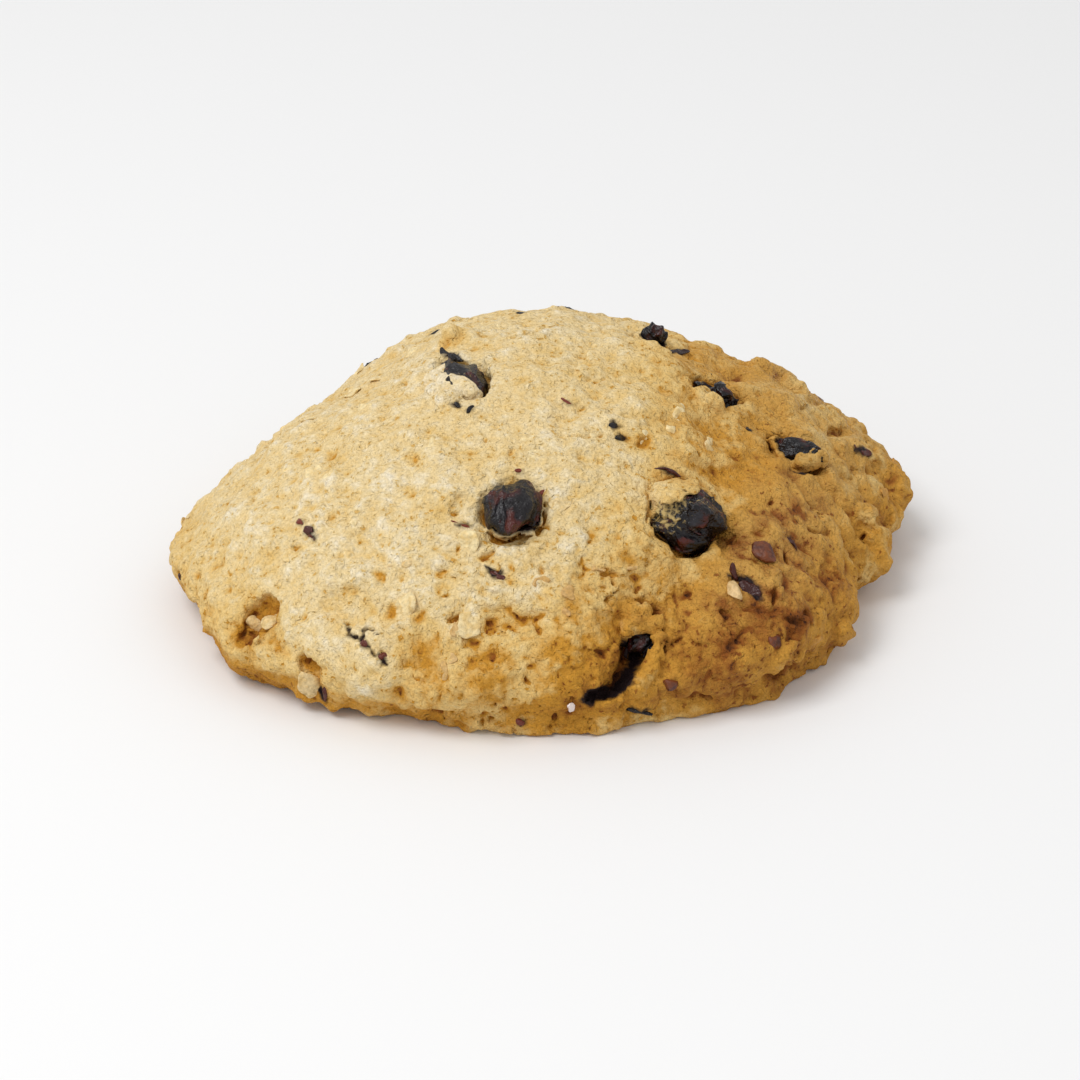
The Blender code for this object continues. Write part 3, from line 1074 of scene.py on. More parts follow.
@dataclass
class Cranberry:
    """One dried cranberry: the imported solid's form, its skin shrunk into folds.

    Attributes:
        node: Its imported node.
        seed: The start of its chances.
        step: The grid's spacing.
        fold_size: How far apart the big folds are.
        fold_depth: How deep they are.
        wrinkle_size: How far apart the wrinkles between them are.
        wrinkle_depth: How deep those are, all in millimetres.
        drawn_out: How far the pattern is stretched along the berry, as a share.
    """

    node: str
    seed: int
    step: float = 0.17
    fold_size: float = 3.4
    fold_depth: float = 0.6
    wrinkle_size: float = 1.8
    wrinkle_depth: float = 0.45
    drawn_out: float = 0.55

    def build(self, material: bpy.types.Material) -> bpy.types.Object:
        """Make the berry.

        Args:
            material: Its skin.

        Returns:
            The piece.
        """
        points = node_mesh(self.node)[0]
        middle = points.mean(axis=0)
        length = np.linalg.svd(points - middle, full_matrices=False)[2][0]
        body = Body.from_node(self.node, self.step, 2.6)
        body.values = body.blurred(0.3)
        numbers = body.near(2.3)
        places = body.places(numbers)
        grain = Grain(self.seed)
        along = ((places - middle) @ length)[:, None]
        drawn = (places - self.drawn_out * along * length).astype(np.float32)
        warp = grain.shifts(drawn + 11.0, 3.0)
        folds = np.abs(grain.soft(drawn + 1.2 * warp, self.fold_size))
        wrinkles = grain.soft(drawn + 0.8 * warp + 50.0, self.wrinkle_size)
        creases = np.abs(grain.soft(drawn + 0.6 * warp + 90.0, 0.6 * self.wrinkle_size))
        depth = self.fold_depth * smooth_step(folds, 0.02, 0.5) + self.wrinkle_depth * wrinkles
        depth = depth + 0.7 * self.wrinkle_depth * smooth_step(creases, 0.0, 0.4)
        # Folds draw the skin in by a quarter of a millimetre on average, which is given back.
        body.sink(numbers, depth - 0.25 + film_on(self.node).shrink)
        piece = make_piece(self.node + "_skin", *body.to_mesh(), material)
        keep_inside(piece)
        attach(piece, "root")
        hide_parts(self.node)
        places = mesh_points(piece)
        paint(piece, "ridge", smooth_step(body.read(places, body.blurred(0.6)), -0.05, 0.15))
        paint(piece, "film", self.dust(places, points, grain))
        paint(piece, "tone", np.zeros(len(places)))
        return piece

    def dust(self, places: np.ndarray, packed: np.ndarray, grain: Grain) -> np.ndarray:
        """Dust the side where dough baked on, and smear dough over the rest in thin lines.

        Args:
            places: The piece's points, one a row.
            packed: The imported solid's points.
            grain: The berry's noise.

        Returns:
            How thickly crumb clings to each point, from 0 to 1.
        """
        film = film_on(self.node)
        middle = packed.mean(axis=0)
        side = unit(film.side)
        across = (places - middle) @ side / float(((packed - middle) @ side).max())
        uneven = 0.5 * grain.soft(places + 130.0, 3.0)
        dust = film.dust * smooth_step(across - 1.0 + 2.0 * film.share + uneven, -0.7, 0.3)
        veins = 1.0 - smooth_step(np.abs(grain.soft(places + 200.0, 2.0)), 0.0, 0.1)
        return np.maximum(dust, 0.7 * film.dust * veins)


# ---------------------------------------------------------------- the crust


@dataclass(frozen=True)
class Shares:
    """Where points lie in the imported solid's box: fractions of its length, depth and height."""

    u: np.ndarray
    v: np.ndarray
    w: np.ndarray

    @classmethod
    def of(cls, places: np.ndarray) -> "Shares":
        """Return the fractions of some points in millimetres."""
        return cls(*to_shares(places).T)

    def within(self, **edges: tuple[float, ...]) -> np.ndarray:
        """Mark out a region with soft edges.

        Args:
            edges: For u, v or w, one or two pairs: where an edge starts and where the region is full.

        Returns:
            1 inside the region and 0 outside it, for each point.
        """
        share = np.ones(len(self.u))
        for side, ends in edges.items():
            for start, full in zip(ends[::2], ends[1::2]):
                share = share * smooth_step(getattr(self, side), start, full)
        return share


@dataclass(frozen=True)
class Zones:
    """How floury, how rough and how waxy the crust is at some points, each from 0 to 1."""

    floury: np.ndarray
    rough: np.ndarray
    waxy: np.ndarray

    @classmethod
    def at(cls, places: np.ndarray) -> "Zones":
        """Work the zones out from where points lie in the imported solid's box.

        Args:
            places: The points in millimetres, one a row.

        Returns:
            The zones.
        """
        u, v, w = to_shares(places).T
        grain = Grain(2)
        # The waxy right side starts along a curved, wandering edge.
        edge = 0.756 - 0.79 * np.minimum(v - 0.5, 0.0) ** 2
        edge = edge + 0.05 * grain.soft(places, 9.0) + 0.03 * grain.soft(places, 3.5)
        waxy = smooth_step(u - edge, -0.08, 0.09)
        front = smooth_step(0.28 - v, 0.0, 0.2) * smooth_step(u, 0.2, 0.45)
        behind = 0.6 * smooth_step(v, 0.8, 0.95)
        low = smooth_step(0.4 - w, 0.0, 0.35)
        rough = np.maximum(np.maximum(front, behind), 0.4 * low) * (1.0 - 0.75 * waxy)
        floury = np.clip(1.0 - rough - waxy, 0.05, 1.0)
        return cls(floury, rough, waxy)


class Zone(Enum):
    """The kinds of crust that small features are spread over."""

    FLOURY = "floury"
    ROUGH = "rough"
    WAXY = "waxy"

    def share(self, places: np.ndarray) -> np.ndarray:
        """Return how much each point belongs to this zone."""
        return getattr(Zones.at(places), self.value)


@dataclass(frozen=True)
class Scatter:
    """A kind of small feature that is spread over a zone.

    Attributes:
        zone: Where it lies.
        count: How many there are.
        length: Its shortest and longest half length, in millimetres.
        width: How wide it is for its length, at the least and at the most.
        lift: How far it stands out, or how deep it is cut in, in millimetres.
        blend: How widely it is rounded into the crust, in millimetres.
    """

    zone: Zone
    count: int
    length: tuple[float, float]
    width: tuple[float, float]
    lift: tuple[float, float]
    blend: float


LUMPS = (
    Scatter(Zone.ROUGH, 260, (0.8, 1.6), (0.6, 0.95), (0.03, 0.22), 0.35),
    Scatter(Zone.ROUGH, 700, (0.35, 0.8), (0.7, 1.0), (0.05, 0.22), 0.15),
    Scatter(Zone.WAXY, 200, (1.6, 3.0), (0.6, 0.9), (0.05, 0.22), 0.8),
    Scatter(Zone.WAXY, 300, (0.6, 1.4), (0.6, 0.9), (0.03, 0.16), 0.3),
    Scatter(Zone.FLOURY, 480, (0.9, 2.0), (0.5, 0.9), (0.04, 0.18), 0.4),
    Scatter(Zone.FLOURY, 900, (0.35, 0.75), (0.6, 1.0), (0.03, 0.12), 0.15),
)
PITS = (
    Scatter(Zone.FLOURY, 90, (0.35, 0.8), (0.3, 0.6), (0.3, 0.55), 0.3),
    Scatter(Zone.ROUGH, 40, (0.3, 0.6), (0.3, 0.7), (0.35, 0.7), 0.2),
    Scatter(Zone.WAXY, 60, (0.3, 0.7), (0.4, 0.8), (0.3, 0.6), 0.25),
)
CRACKS = (
    Scatter(Zone.ROUGH, 34, (1.5, 4.5), (0.12, 0.22), (0.2, 0.4), 0.12),
    Scatter(Zone.WAXY, 20, (2.5, 6.0), (0.2, 0.3), (0.1, 0.28), 0.5),
    Scatter(Zone.FLOURY, 36, (1.5, 4.0), (0.1, 0.18), (0.1, 0.25), 0.1),
)
# Oat flakes, pressed in; their lift is that of their middles.
OATS = (
    Scatter(Zone.FLOURY, 80, (0.9, 1.9), (0.55, 0.9), (-0.26, -0.14), 0.0),
    Scatter(Zone.ROUGH, 20, (0.8, 1.6), (0.6, 0.9), (-0.24, -0.12), 0.0),
    Scatter(Zone.WAXY, 5, (1.0, 1.7), (0.6, 0.9), (-0.26, -0.16), 0.0),
)

# Deep hollows, holes and tears, painted browner inside, partly as shade in them.
HOLLOWS = (
    Spot((0.142, 0.168, 0.287), (4.2, 2.4, 1.8), 20.0, 0.4),
    Spot((0.120, 0.150, 0.235), (2.2, 1.3, 1.2), 30.0, 0.1),
    Spot((0.205, 0.067, 0.223), (1.5, 1.9, 1.6), 0.0, 0.2),
    Spot((0.051, 0.282, 0.303), (0.7, 0.5, 0.7), 30.0),
    Spot((0.065, 0.232, 0.306), (1.0, 0.6, 0.8), 70.0),
    Spot((0.118, 0.343, 0.554), (1.0, 0.5, 0.7), 15.0),
    Spot((0.088, 0.295, 0.444), (0.8, 0.5, 0.6), 35.0),
    Spot((0.625, 0.341, 0.830), (1.7, 0.9, 1.1), 50.0),
    Spot((0.722, 0.238, 0.590), (1.2, 3.0, 1.8), 10.0, 0.3),
    Spot((0.784, 0.146, 0.438), (0.5, 1.3, 1.2), 5.0),
    Spot((0.809, 0.132, 0.347), (1.9, 0.6, 1.2), 5.0),
    Spot((0.829, 0.153, 0.321), (1.3, 0.5, 0.9), -25.0),
    Spot((0.793, 0.138, 0.080), (3.0, 0.8, 1.0), 20.0),
    Spot((0.387, 0.078, 0.460), (1.5, 0.7, 1.1), 10.0),
    Spot((0.430, 0.078, 0.420), (1.0, 0.6, 0.9), 40.0),
    Spot((0.760, 0.128, 0.422), (2.0, 0.8, 1.0), 10.0),
    Spot((0.345, 0.085, 0.440), (1.2, 0.5, 0.8), 35.0),
    Spot((0.743, 0.392, 0.685), (1.6, 1.0, 0.9), -30.0),
)
# Crumbs that the oven caught.
TOASTED = (
    Spot((0.378, 0.590, 0.945), (2.4, 1.9, 1.4)),
    Spot((0.811, 0.675, 0.679), (3.0, 1.6, 1.4)),
    Spot((0.467, 0.437, 0.964), (0.8, 0.6, 0.5)),
    Spot((0.723, 0.123, 0.435), (1.8, 1.0, 0.8)),
)
# Cracks that have places of their own.
NAMED_CRACKS = (
    ((0.532, 0.330, 0.885), (0.548, 0.326, 0.882), (0.567, 0.330, 0.876)),
    ((0.558, 0.442, 0.934), (0.577, 0.471, 0.948)),
    ((0.578, 0.150, 0.540), (0.580, 0.125, 0.500), (0.577, 0.106, 0.470), (0.575, 0.095, 0.430)),
    ((0.612, 0.185, 0.600), (0.627, 0.164, 0.580), (0.632, 0.145, 0.550)),
    ((0.470, 0.140, 0.610), (0.490, 0.130, 0.590), (0.498, 0.118, 0.560)),
    ((0.634, 0.078, 0.300), (0.660, 0.082, 0.330), (0.688, 0.076, 0.330)),
)
# Soft creases: most run in from the right edge, and one curves up from the top of the split.
CREASES = (
    ((0.850, 0.600, 0.600), (0.875, 0.640, 0.560), (0.900, 0.680, 0.520)),
    ((0.880, 0.560, 0.520), (0.905, 0.590, 0.500), (0.930, 0.625, 0.470)),
    ((0.917, 0.502, 0.448), (0.945, 0.535, 0.415), (0.970, 0.568, 0.385)),
    ((0.856, 0.421, 0.572), (0.877, 0.409, 0.497), (0.899, 0.399, 0.409), (0.918, 0.388, 0.304),
     (0.934, 0.385, 0.197)),
    ((0.624, 0.083, 0.335), (0.626, 0.107, 0.381), (0.635, 0.120, 0.421), (0.650, 0.134, 0.439),
     (0.678, 0.151, 0.447)),
    ((0.910, 0.393, 0.335), (0.937, 0.430, 0.300), (0.964, 0.467, 0.264)),
    ((0.905, 0.330, 0.300), (0.930, 0.365, 0.250), (0.950, 0.400, 0.200)),
)
# The split where the right side broke away from the front, its walls painted near black right through as
# shade.
SPLIT = ((0.620, 0.082, 0.340), (0.613, 0.077, 0.300), (0.607, 0.070, 0.265), (0.601, 0.057, 0.242),
         (0.596, 0.038, 0.229), (0.584, 0.025, 0.225), (0.565, 0.018, 0.219), (0.547, 0.013, 0.201))
# Seams where a berry's skin shows dark between folds of dough.
DARK_SEAMS = (
    ((0.816, 0.410, 0.602), (0.834, 0.412, 0.590), (0.850, 0.430, 0.575)),
    ((0.251, 0.106, 0.396), (0.256, 0.082, 0.387), (0.261, 0.071, 0.379), (0.270, 0.067, 0.381)),
    ((0.271, 0.067, 0.381), (0.275, 0.080, 0.400), (0.280, 0.084, 0.406), (0.291, 0.072, 0.399)),
    ((0.273, 0.062, 0.372), (0.280, 0.055, 0.362), (0.287, 0.051, 0.350), (0.289, 0.043, 0.333)),
    ((0.296, 0.050, 0.343), (0.300, 0.041, 0.324), (0.304, 0.033, 0.305)),
)
# Crumbs that break the outline.
BUMPS = (
    Spot((0.374, 0.596, 0.950), (1.6, 1.9, 1.4), 20.0, 0.7),
    Spot((0.119, 0.572, 0.458), (1.7, 1.2, 1.3), 30.0, 0.7),
    Spot((0.297, 0.711, 0.703), (2.0, 1.4, 1.3), 10.0, 0.7),
    Spot((0.793, 0.679, 0.702), (2.2, 1.4, 1.0), -20.0, 0.2),
    Spot((0.840, 0.653, 0.638), (2.2, 1.5, 1.3), -30.0, 0.6),
    Spot((0.881, 0.218, 0.132), (3.2, 1.8, 1.4), 50.0, 0.5),
    Spot((0.938, 0.392, 0.193), (3.0, 2.2, 2.2), 60.0, 0.6),
)
# Dough lapped over the edges of berries.
COVERS = (
    Spot((0.606, 0.114, 0.408), (1.9, 1.6, 1.2)),
    Spot((0.622, 0.114, 0.400), (2.0, 1.6, 1.2)),
    Spot((0.634, 0.104, 0.380), (1.4, 1.3, 1.1)),
    Spot((0.600, 0.090, 0.372), (1.6, 1.3, 1.1)),
    Spot((0.612, 0.098, 0.380), (1.7, 1.3, 1.1)),
    Spot((0.626, 0.103, 0.372), (1.5, 1.2, 1.1)),
    Spot((0.638, 0.086, 0.340), (1.3, 1.2, 1.3)),
    Spot((0.634, 0.073, 0.300), (1.4, 1.3, 1.4)),
    Spot((0.628, 0.062, 0.262), (1.5, 1.4, 1.4)),
    Spot((0.620, 0.050, 0.226), (1.5, 1.4, 1.4)),
    Spot((0.612, 0.038, 0.202), (1.5, 1.3, 1.3)),
    Spot((0.431, 0.177, 0.692), (2.1, 1.3, 1.2), 20.0, 1.4),
    Spot((0.350, 0.463, 0.922), (1.9, 1.5, 1.2), 0.0, -0.2),
    Spot((0.358, 0.432, 0.924), (2.0, 1.6, 1.2), 0.0, -0.2),
    Spot((0.371, 0.405, 0.931), (2.0, 1.5, 1.2), 0.0, -0.2),
    Spot((0.645, 0.572, 0.917), (2.6, 1.3, 0.8), -30.0),
    Spot((0.710, 0.498, 0.788), (2.3, 1.9, 1.3), 0.0, -0.35),
    Spot((0.722, 0.486, 0.778), (2.0, 1.3, 1.2), 0.0, -0.2),
    Spot((0.803, 0.411, 0.616), (2.4, 1.3, 1.2), 10.0, -0.1),
    Spot((0.837, 0.438, 0.606), (1.7, 1.4, 1.2), 20.0, -0.2),
)
# Oat flakes that stand clear of the crumb.
CLEAR_OATS = (
    Spot((0.325, 0.098, 0.471), (2.1, 1.8, 0.28), 20.0, 0.25, -9.0, 0.1),
    Spot((0.403, 0.070, 0.435), (2.1, 1.8, 0.32), 60.0, 0.3, 7.0, 0.1),
    Spot((0.205, 0.075, 0.150), (2.4, 1.6, 0.4), 10.0, 0.2, 10.0, 0.25),
    Spot((0.400, 0.165, 0.640), (2.2, 1.7, 0.32), 10.0, 0.1, -9.0),
    Spot((0.150, 0.160, 0.290), (1.5, 1.2, 0.35), 30.0, 0.3, 25.0, 0.2),
    Spot((0.132, 0.175, 0.260), (1.5, 1.1, 0.35), 80.0, 0.3, -25.0, 0.4),
)


@dataclass
class Crust:
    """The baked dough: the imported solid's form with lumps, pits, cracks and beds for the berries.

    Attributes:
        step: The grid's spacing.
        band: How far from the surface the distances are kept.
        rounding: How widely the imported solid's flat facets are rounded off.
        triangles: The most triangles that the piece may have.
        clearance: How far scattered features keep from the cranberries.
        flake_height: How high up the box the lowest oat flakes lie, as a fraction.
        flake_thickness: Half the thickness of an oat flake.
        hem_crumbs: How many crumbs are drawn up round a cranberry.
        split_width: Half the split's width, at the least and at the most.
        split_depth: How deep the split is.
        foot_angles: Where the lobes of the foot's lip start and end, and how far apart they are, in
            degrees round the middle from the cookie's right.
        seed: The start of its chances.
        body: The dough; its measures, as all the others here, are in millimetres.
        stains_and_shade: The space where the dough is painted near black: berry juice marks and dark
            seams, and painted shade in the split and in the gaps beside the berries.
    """

    step: float = 0.3
    band: float = 2.4
    rounding: float = 0.6
    triangles: int = 194000
    clearance: float = 1.3
    flake_height: float = 0.16
    flake_thickness: float = 0.26
    hem_crumbs: int = 12
    split_width: tuple[float, float] = (0.4, 0.6)
    split_depth: float = 3.4
    foot_angles: tuple[float, float, float] = (-98.0, -14.0, 3.0)
    seed: int = 11
    body: Body = field(init=False)
    stains_and_shade: Body = field(init=False)

    def build(self, material: bpy.types.Material) -> bpy.types.Object:
        """Make the crust.

        Args:
            material: Its finish.

        Returns:
            The piece.
        """
        self.body = Body.from_node(DOUGH_NODE, self.step, self.band)
        self.body.values = self.body.blurred(self.rounding)
        # Far from every juice mark and painted shade to start with.
        self.stains_and_shade = Body(self.step, self.body.corner, np.full_like(self.body.values, 3.0))
        self.bed_berries()
        self.swell()
        self.spread()
        self.add_foot()
        self.add_named()
        self.hem_berries()
        self.cover_berries()
        self.open_split()
        self.wander()
        self.break_up()
        self.roughen()
        piece = make_piece("cookie_crust", *self.body.to_mesh(), material)
        log.info("crust before thinning: %d faces", len(piece.data.polygons))
        thin_out(piece, self.triangles)
        keep_inside(piece)
        self.paint_crust(piece)
        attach(piece, "root")
        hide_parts(DOUGH_NODE)
        return piece

    def swell(self) -> None:
        """Give the dough its uneven rise."""
        numbers = self.body.near(1.6)
        places = self.body.places(numbers)
        zones = Zones.at(places)
        grain = Grain(self.seed)
        rise = (0.2 + 0.25 * zones.rough + 0.2 * zones.waxy) * grain.soft(places, 7.0)
        rise += (0.15 + 0.2 * zones.rough + 0.1 * zones.waxy) * grain.soft(places + 40.0, 3.4)
        rise += (0.03 + 0.12 * zones.rough + 0.05 * zones.waxy) * grain.soft(places + 80.0, 1.7)
        # What the lumps will add is taken off first.
        rise -= 0.28 + 0.3 * zones.waxy
        self.body.sink(numbers, -rise * clear_of_floor(places, 0.1, 1.5))

    def spread(self) -> None:
        """Spread lumps, pits and cracks over the surface."""
        rng = np.random.default_rng(self.seed)
        for kind in LUMPS:
            for seat, radii, lift in self.seats(kind, rng):
                self.body.join(seat.raised(lift - radii[2]), radii, kind.blend)
        for kind in PITS:
            for seat, radii, depth in self.seats(kind, rng):
                self.body.carve(seat, (radii[0], radii[1], depth), kind.blend)
        for kind in CRACKS:
            self.crack(kind, rng)

    def seats(self, kind: Scatter, rng: np.random.Generator) -> Iterator[tuple[Seat, Triple, float]]:
        """Choose where a kind of feature goes, clear of the cranberries.

        Args:
            kind: The feature.
            rng: The source of chance.

        Yields:
            A seat on the surface, three radii and the lift, in millimetres.
        """
        places = self.body.scatter(rng, 2 * kind.count, kind.zone.share)
        clear = [berry_tree().find(place)[2] > self.clearance for place in places]
        places = places[clear][:kind.count]
        for place, out in zip(places, self.body.outward(places)):
            length = rng.uniform(*kind.length)
            width = length * rng.uniform(*kind.width)
            seat = Seat.facing(place, out, rng.uniform(0.0, 180.0))
            yield seat, (length, width, 0.5 * (length + width)), rng.uniform(*kind.lift)

    def add_crumb(self, seat: Seat, size: float, blend: float) -> None:
        """Join a crumb to the dough, a size long in millimetres."""
        self.body.join(seat, (size, 0.7 * size, 0.6 * size), blend)

    def crack(self, kind: Scatter, rng: np.random.Generator, stride: float = 0.5) -> None:
        """Open wandering cracks, all a stride at a time.

        Args:
            kind: Their length, half their width in millimetres, their depth and how soft their lips are.
            rng: The source of chance.
            stride: The length of one stride in millimetres.
        """
        seats = list(self.seats(kind, rng))
        places = np.array([seat.middle for seat, _, _ in seats])
        axes = np.array([seat.axes for seat, _, _ in seats])
        depth = np.array([lift for _, _, lift in seats])
        heading = rng.uniform(0.0, 2.0 * math.pi, len(seats))
        width = rng.uniform(*kind.width, len(seats))
        count = np.round(rng.uniform(*kind.length, len(seats)) / stride).astype(int)
        for number in range(count.max()):
            heading += rng.normal(0.0, 0.45, len(seats))
            move = np.cos(heading)[:, None] * axes[:, 0] + np.sin(heading)[:, None] * axes[:, 1]
            places = self.body.settled(places + stride * move)
            outward = self.body.outward(places)
            for one in np.flatnonzero(number < count):
                # A crack is shallow and narrow at both ends.
                taper = math.sin(math.pi * (number + 0.7) / (count[one] + 0.4))
                seat = Seat.facing(places[one], outward[one]).raised(-depth[one] * taper)
                radius = width[one] * (0.5 + 0.5 * taper) * rng.uniform(0.75, 1.3)
                radii = (radius + 0.1, radius + 0.1, depth[one] * taper + radius)
                self.body.carve(seat, radii, kind.blend)

    def add_named(self) -> None:
        """Add the features that have places of their own."""
        rng = np.random.default_rng(self.seed + 1)
        for spot in BUMPS:
            self.body.join(self.body.seat(spot).raised(-0.5 * spot.radii[2]), spot.radii, 0.6)
        for spot in HOLLOWS:
            self.body.carve(self.body.seat(spot), spot.radii, 0.4)
            # Crumbs torn loose inside it.
            count = round(4.0 * spot.radii[0] * spot.radii[1])
            places = spot.middle() + rng.normal(0.0, 0.5, (count, 3)) * max(spot.radii)
            places = self.body.settled(places)
            for place, out in zip(places, self.body.outward(places)):
                size = rng.uniform(0.3, 0.8)
                self.add_crumb(Seat.facing(place, out, rng.uniform(0.0, 180.0)), size, 0.15)
        for chain in CREASES:
            for seat in self.along(chain, rng):
                self.body.carve(seat, (0.5, 0.5, rng.uniform(0.3, 0.5)), 0.8)
        for chain in NAMED_CRACKS:
            for seat in self.along(chain, rng):
                self.body.carve(seat, (0.3, 0.3, rng.uniform(0.5, 0.9)), 0.15)
        for chain in DARK_SEAMS:
            for seat in self.along(chain, rng):
                self.body.carve(seat, (0.28, 0.28, rng.uniform(0.5, 0.8)), 0.12)
                self.stains_and_shade.join(seat, (rng.uniform(0.22, 0.36),) * 2 + (1.2,), 0.1)
        for spot in SKIN_BITS:
            self.stains_and_shade.join(self.body.seat(spot), [radius + 0.1 for radius in spot.radii], 0.1)

    def along(self, chain: Sequence[Triple], rng: np.random.Generator,
              spacing: float = 0.4) -> Iterator[Seat]:
        """Follow a chain of places over the surface.

        Args:
            chain: The places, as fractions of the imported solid's box.
            rng: The source of chance.
            spacing: How far apart the seats are, in millimetres.

        Yields:
            Seats close together, none quite in line.
        """
        places = from_shares(chain)
        for first, last in zip(places, places[1:]):
            count = max(3, round(float(np.linalg.norm(last - first)) / spacing))
            line = first + np.linspace(0.0, 1.0, count)[:, None] * (last - first)
            line = self.body.settled(line + rng.normal(0.0, 0.15, line.shape))
            for place, out in zip(line, self.body.outward(line)):
                yield Seat.facing(place, out)

    def berry_distance(self, name: str) -> tuple[GridPart, np.ndarray, Body, np.ndarray]:
        """Measure a cranberry on the crust's own grid.

        Args:
            name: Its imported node.

        Returns:
            The part of the grid round it, the grid points there, the berry and the distances to it.
        """
        points = node_mesh(name)[0]
        berry = Body.from_node(name, self.step, self.band)
        berry.values += np.float32(film_on(name).shrink)
        part, away = self.body.block(points.mean(axis=0), np.ptp(points, axis=0).max() * 0.5 + 2.0)
        places = away + points.mean(axis=0)
        distance = berry.read(places.reshape(-1, 3)).reshape(away.shape[:3])
        return part, places, berry, distance

    def flakes(self) -> list[Spot]:
        """Choose where oat flakes lie on the finished crust.

        Returns:
            Their spots, whose tone is how toasted they are.
        """
        rng = np.random.default_rng(self.seed + 6)
        spots = list(CLEAR_OATS)
        for kind in OATS:
            for seat, radii, lift in self.seats(kind, rng):
                place = tuple(to_shares(seat.middle))
                stain_and_shade_distance = float(self.stains_and_shade.read(seat.middle[None])[0])
                if place[2] < self.flake_height or stain_and_shade_distance < 2.0:
                    continue
                zones = Zones.at(seat.middle[None])
                tone = 0.05 + 0.65 * float(zones.rough[0]) + 0.9 * float(zones.waxy[0])
                spots.append(Spot(
                    place, (radii[0], radii[1], self.flake_thickness), rng.uniform(0.0, 360.0), lift,
                    rng.uniform(-11.0, 11.0), min(tone, 1.0), rng.uniform(-0.05, 0.05)))
        return spots

    def bed_berries(self) -> None:
        """Close the dough round each cranberry up to its own level, so that it sits in a tight bed."""
        for name in BERRY_NODES:
            part, places, _, distance = self.berry_distance(name)
            packed = distance - film_on(name).shrink
            # The crust's own surface in a ring round the berry gives the level.
            ring = places[(packed > 0.5) & (packed < 0.9) & (np.abs(self.body.values[part]) < 0.3)]
            out = self.body.outward(ring).mean(axis=0)
            # The bed ends a little above that level, close round the berry.
            level = (places - ring.mean(axis=0)) @ unit(out) - 0.15
            fill = smooth_max(packed - 0.2, level, 0.3).astype(np.float32)
            self.body.values[part] = smooth_min(self.body.values[part], fill, 0.3)

    def hem_berries(self) -> None:
        """Draw ragged dough up to each cranberry, marked by its juice, with a gap on one side whose
        walls get painted shade.
        """
        rng = np.random.default_rng(self.seed + 2)
        for name in BERRY_NODES:
            part, places, berry, distance = self.berry_distance(name)
            middle = places.reshape(-1, 3).mean(axis=0)
            rim = places[(np.abs(distance) < 0.4) & (np.abs(self.body.values[part]) < 0.3)]
            for place in rim[rng.choice(len(rim), self.hem_crumbs)]:
                closed = float((place - middle) @ GAP_SIDE) < 0.5
                size = rng.uniform(0.7, 1.6) if closed else rng.uniform(0.4, 0.7)
                seat = Seat.facing(place, self.body.outward(place[None])[0], rng.uniform(0.0, 180.0))
                self.add_crumb(seat.raised(rng.uniform(-0.5, 0.1)), size, 0.3)
            # The gap is the berry's own form, moved a little that way.
            gap = berry.read(places.reshape(-1, 3) - 0.55 * GAP_SIDE).reshape(distance.shape)
            self.body.values[part] = smooth_max(self.body.values[part], -0.35 - gap, 0.2)
            # Juice marks round the berry, and painted shade on the walls of the gap, both near black.
            stain_and_gap_shade = np.minimum(distance - film_on(name).stain_and_shade_reach, gap + 0.05).astype(np.float32)
            self.stains_and_shade.values[part] = smooth_min(self.stains_and_shade.values[part], stain_and_gap_shade, 0.1)
            self.add_film(name, part, places, distance)

    def add_film(self, name: str, part: GridPart, places: np.ndarray, distance: np.ndarray) -> None:
        """Bake a thin, ragged sheet of dough onto one side of a cranberry.

        Args:
            name: The cranberry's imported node.
            part: The part of the grid round it.
            places: The grid points there.
            distance: How far each is from the cranberry.
        """
        film = film_on(name)
        points = node_mesh(name)[0]
        side = unit(film.side)
        reach = float(((points - points.mean(axis=0)) @ side).max())
        across = ((places - points.mean(axis=0)) @ side) / reach
        patches = Grain(self.seed + 4).layers(places.reshape(-1, 3), 3.4, 3).reshape(across.shape)
        beyond = (1.0 - 2.0 * film.share - across - 0.4 * patches) * reach
        # The sheet lies round the skin, a quarter of a millimetre proud of it.
        sheet = smooth_max(np.abs(distance + 0.15) - 0.4, beyond, 0.3).astype(np.float32)
        self.body.values[part] = smooth_min(self.body.values[part], sheet, 0.3)
        self.stains_and_shade.values[part] = smooth_max(self.stains_and_shade.values[part], 0.2 - sheet, 0.1)

    def cover_berries(self) -> None:
        """Lap more dough over the cranberries that the crust half hides, clear of the juice marks and
        painted shade round them.
        """
        for spot in COVERS:
            place = spot.middle()
            seat = Seat.facing(place, self.body.outward(place[None])[0], spot.turn).raised(spot.lift)
            self.body.join(seat, spot.radii, 0.4)
            self.stains_and_shade.carve(seat, [radius + 0.25 for radius in spot.radii], 0.1)

    def open_split(self) -> None:
        """Open the deep split at the front and paint near black shade on its walls."""
        rng = np.random.default_rng(self.seed + 10)
        places = from_shares(SPLIT)
        for first, last in zip(places, places[1:]):
            for share in np.arange(0.0, 1.0, 0.35 / float(np.linalg.norm(last - first))):
                place = first + share * (last - first) + rng.normal(0.0, 0.12, 3)
                seat = Seat.facing(place, np.array((0.0, -0.8, 0.6)))
                width = rng.uniform(*self.split_width)
                self.body.carve(seat, (width, width, self.split_depth), 0.15)
                # Its walls are painted near black all the way down, as shade.
                walls = (width + 0.45, width + 0.45, self.split_depth + 0.2)
                self.stains_and_shade.join(seat.raised(-2.0), walls, 0.1)

    def add_foot(self) -> None:
        """Lay the thin, ragged lip that spread out under the front and right side."""
        rng = np.random.default_rng(self.seed + 3)
        middle = 0.5 * (LOW + HIGH) * (1.0, 1.0, 0.0)
        reach = np.arange(30.0, 62.0, 0.15)
        for angle in np.arange(*self.foot_angles):
            turn = math.radians(angle + rng.uniform(-1.5, 1.5))
            line = np.array((math.cos(turn), math.sin(turn), 0.0))
            ring = middle + reach[:, None] * line + UP
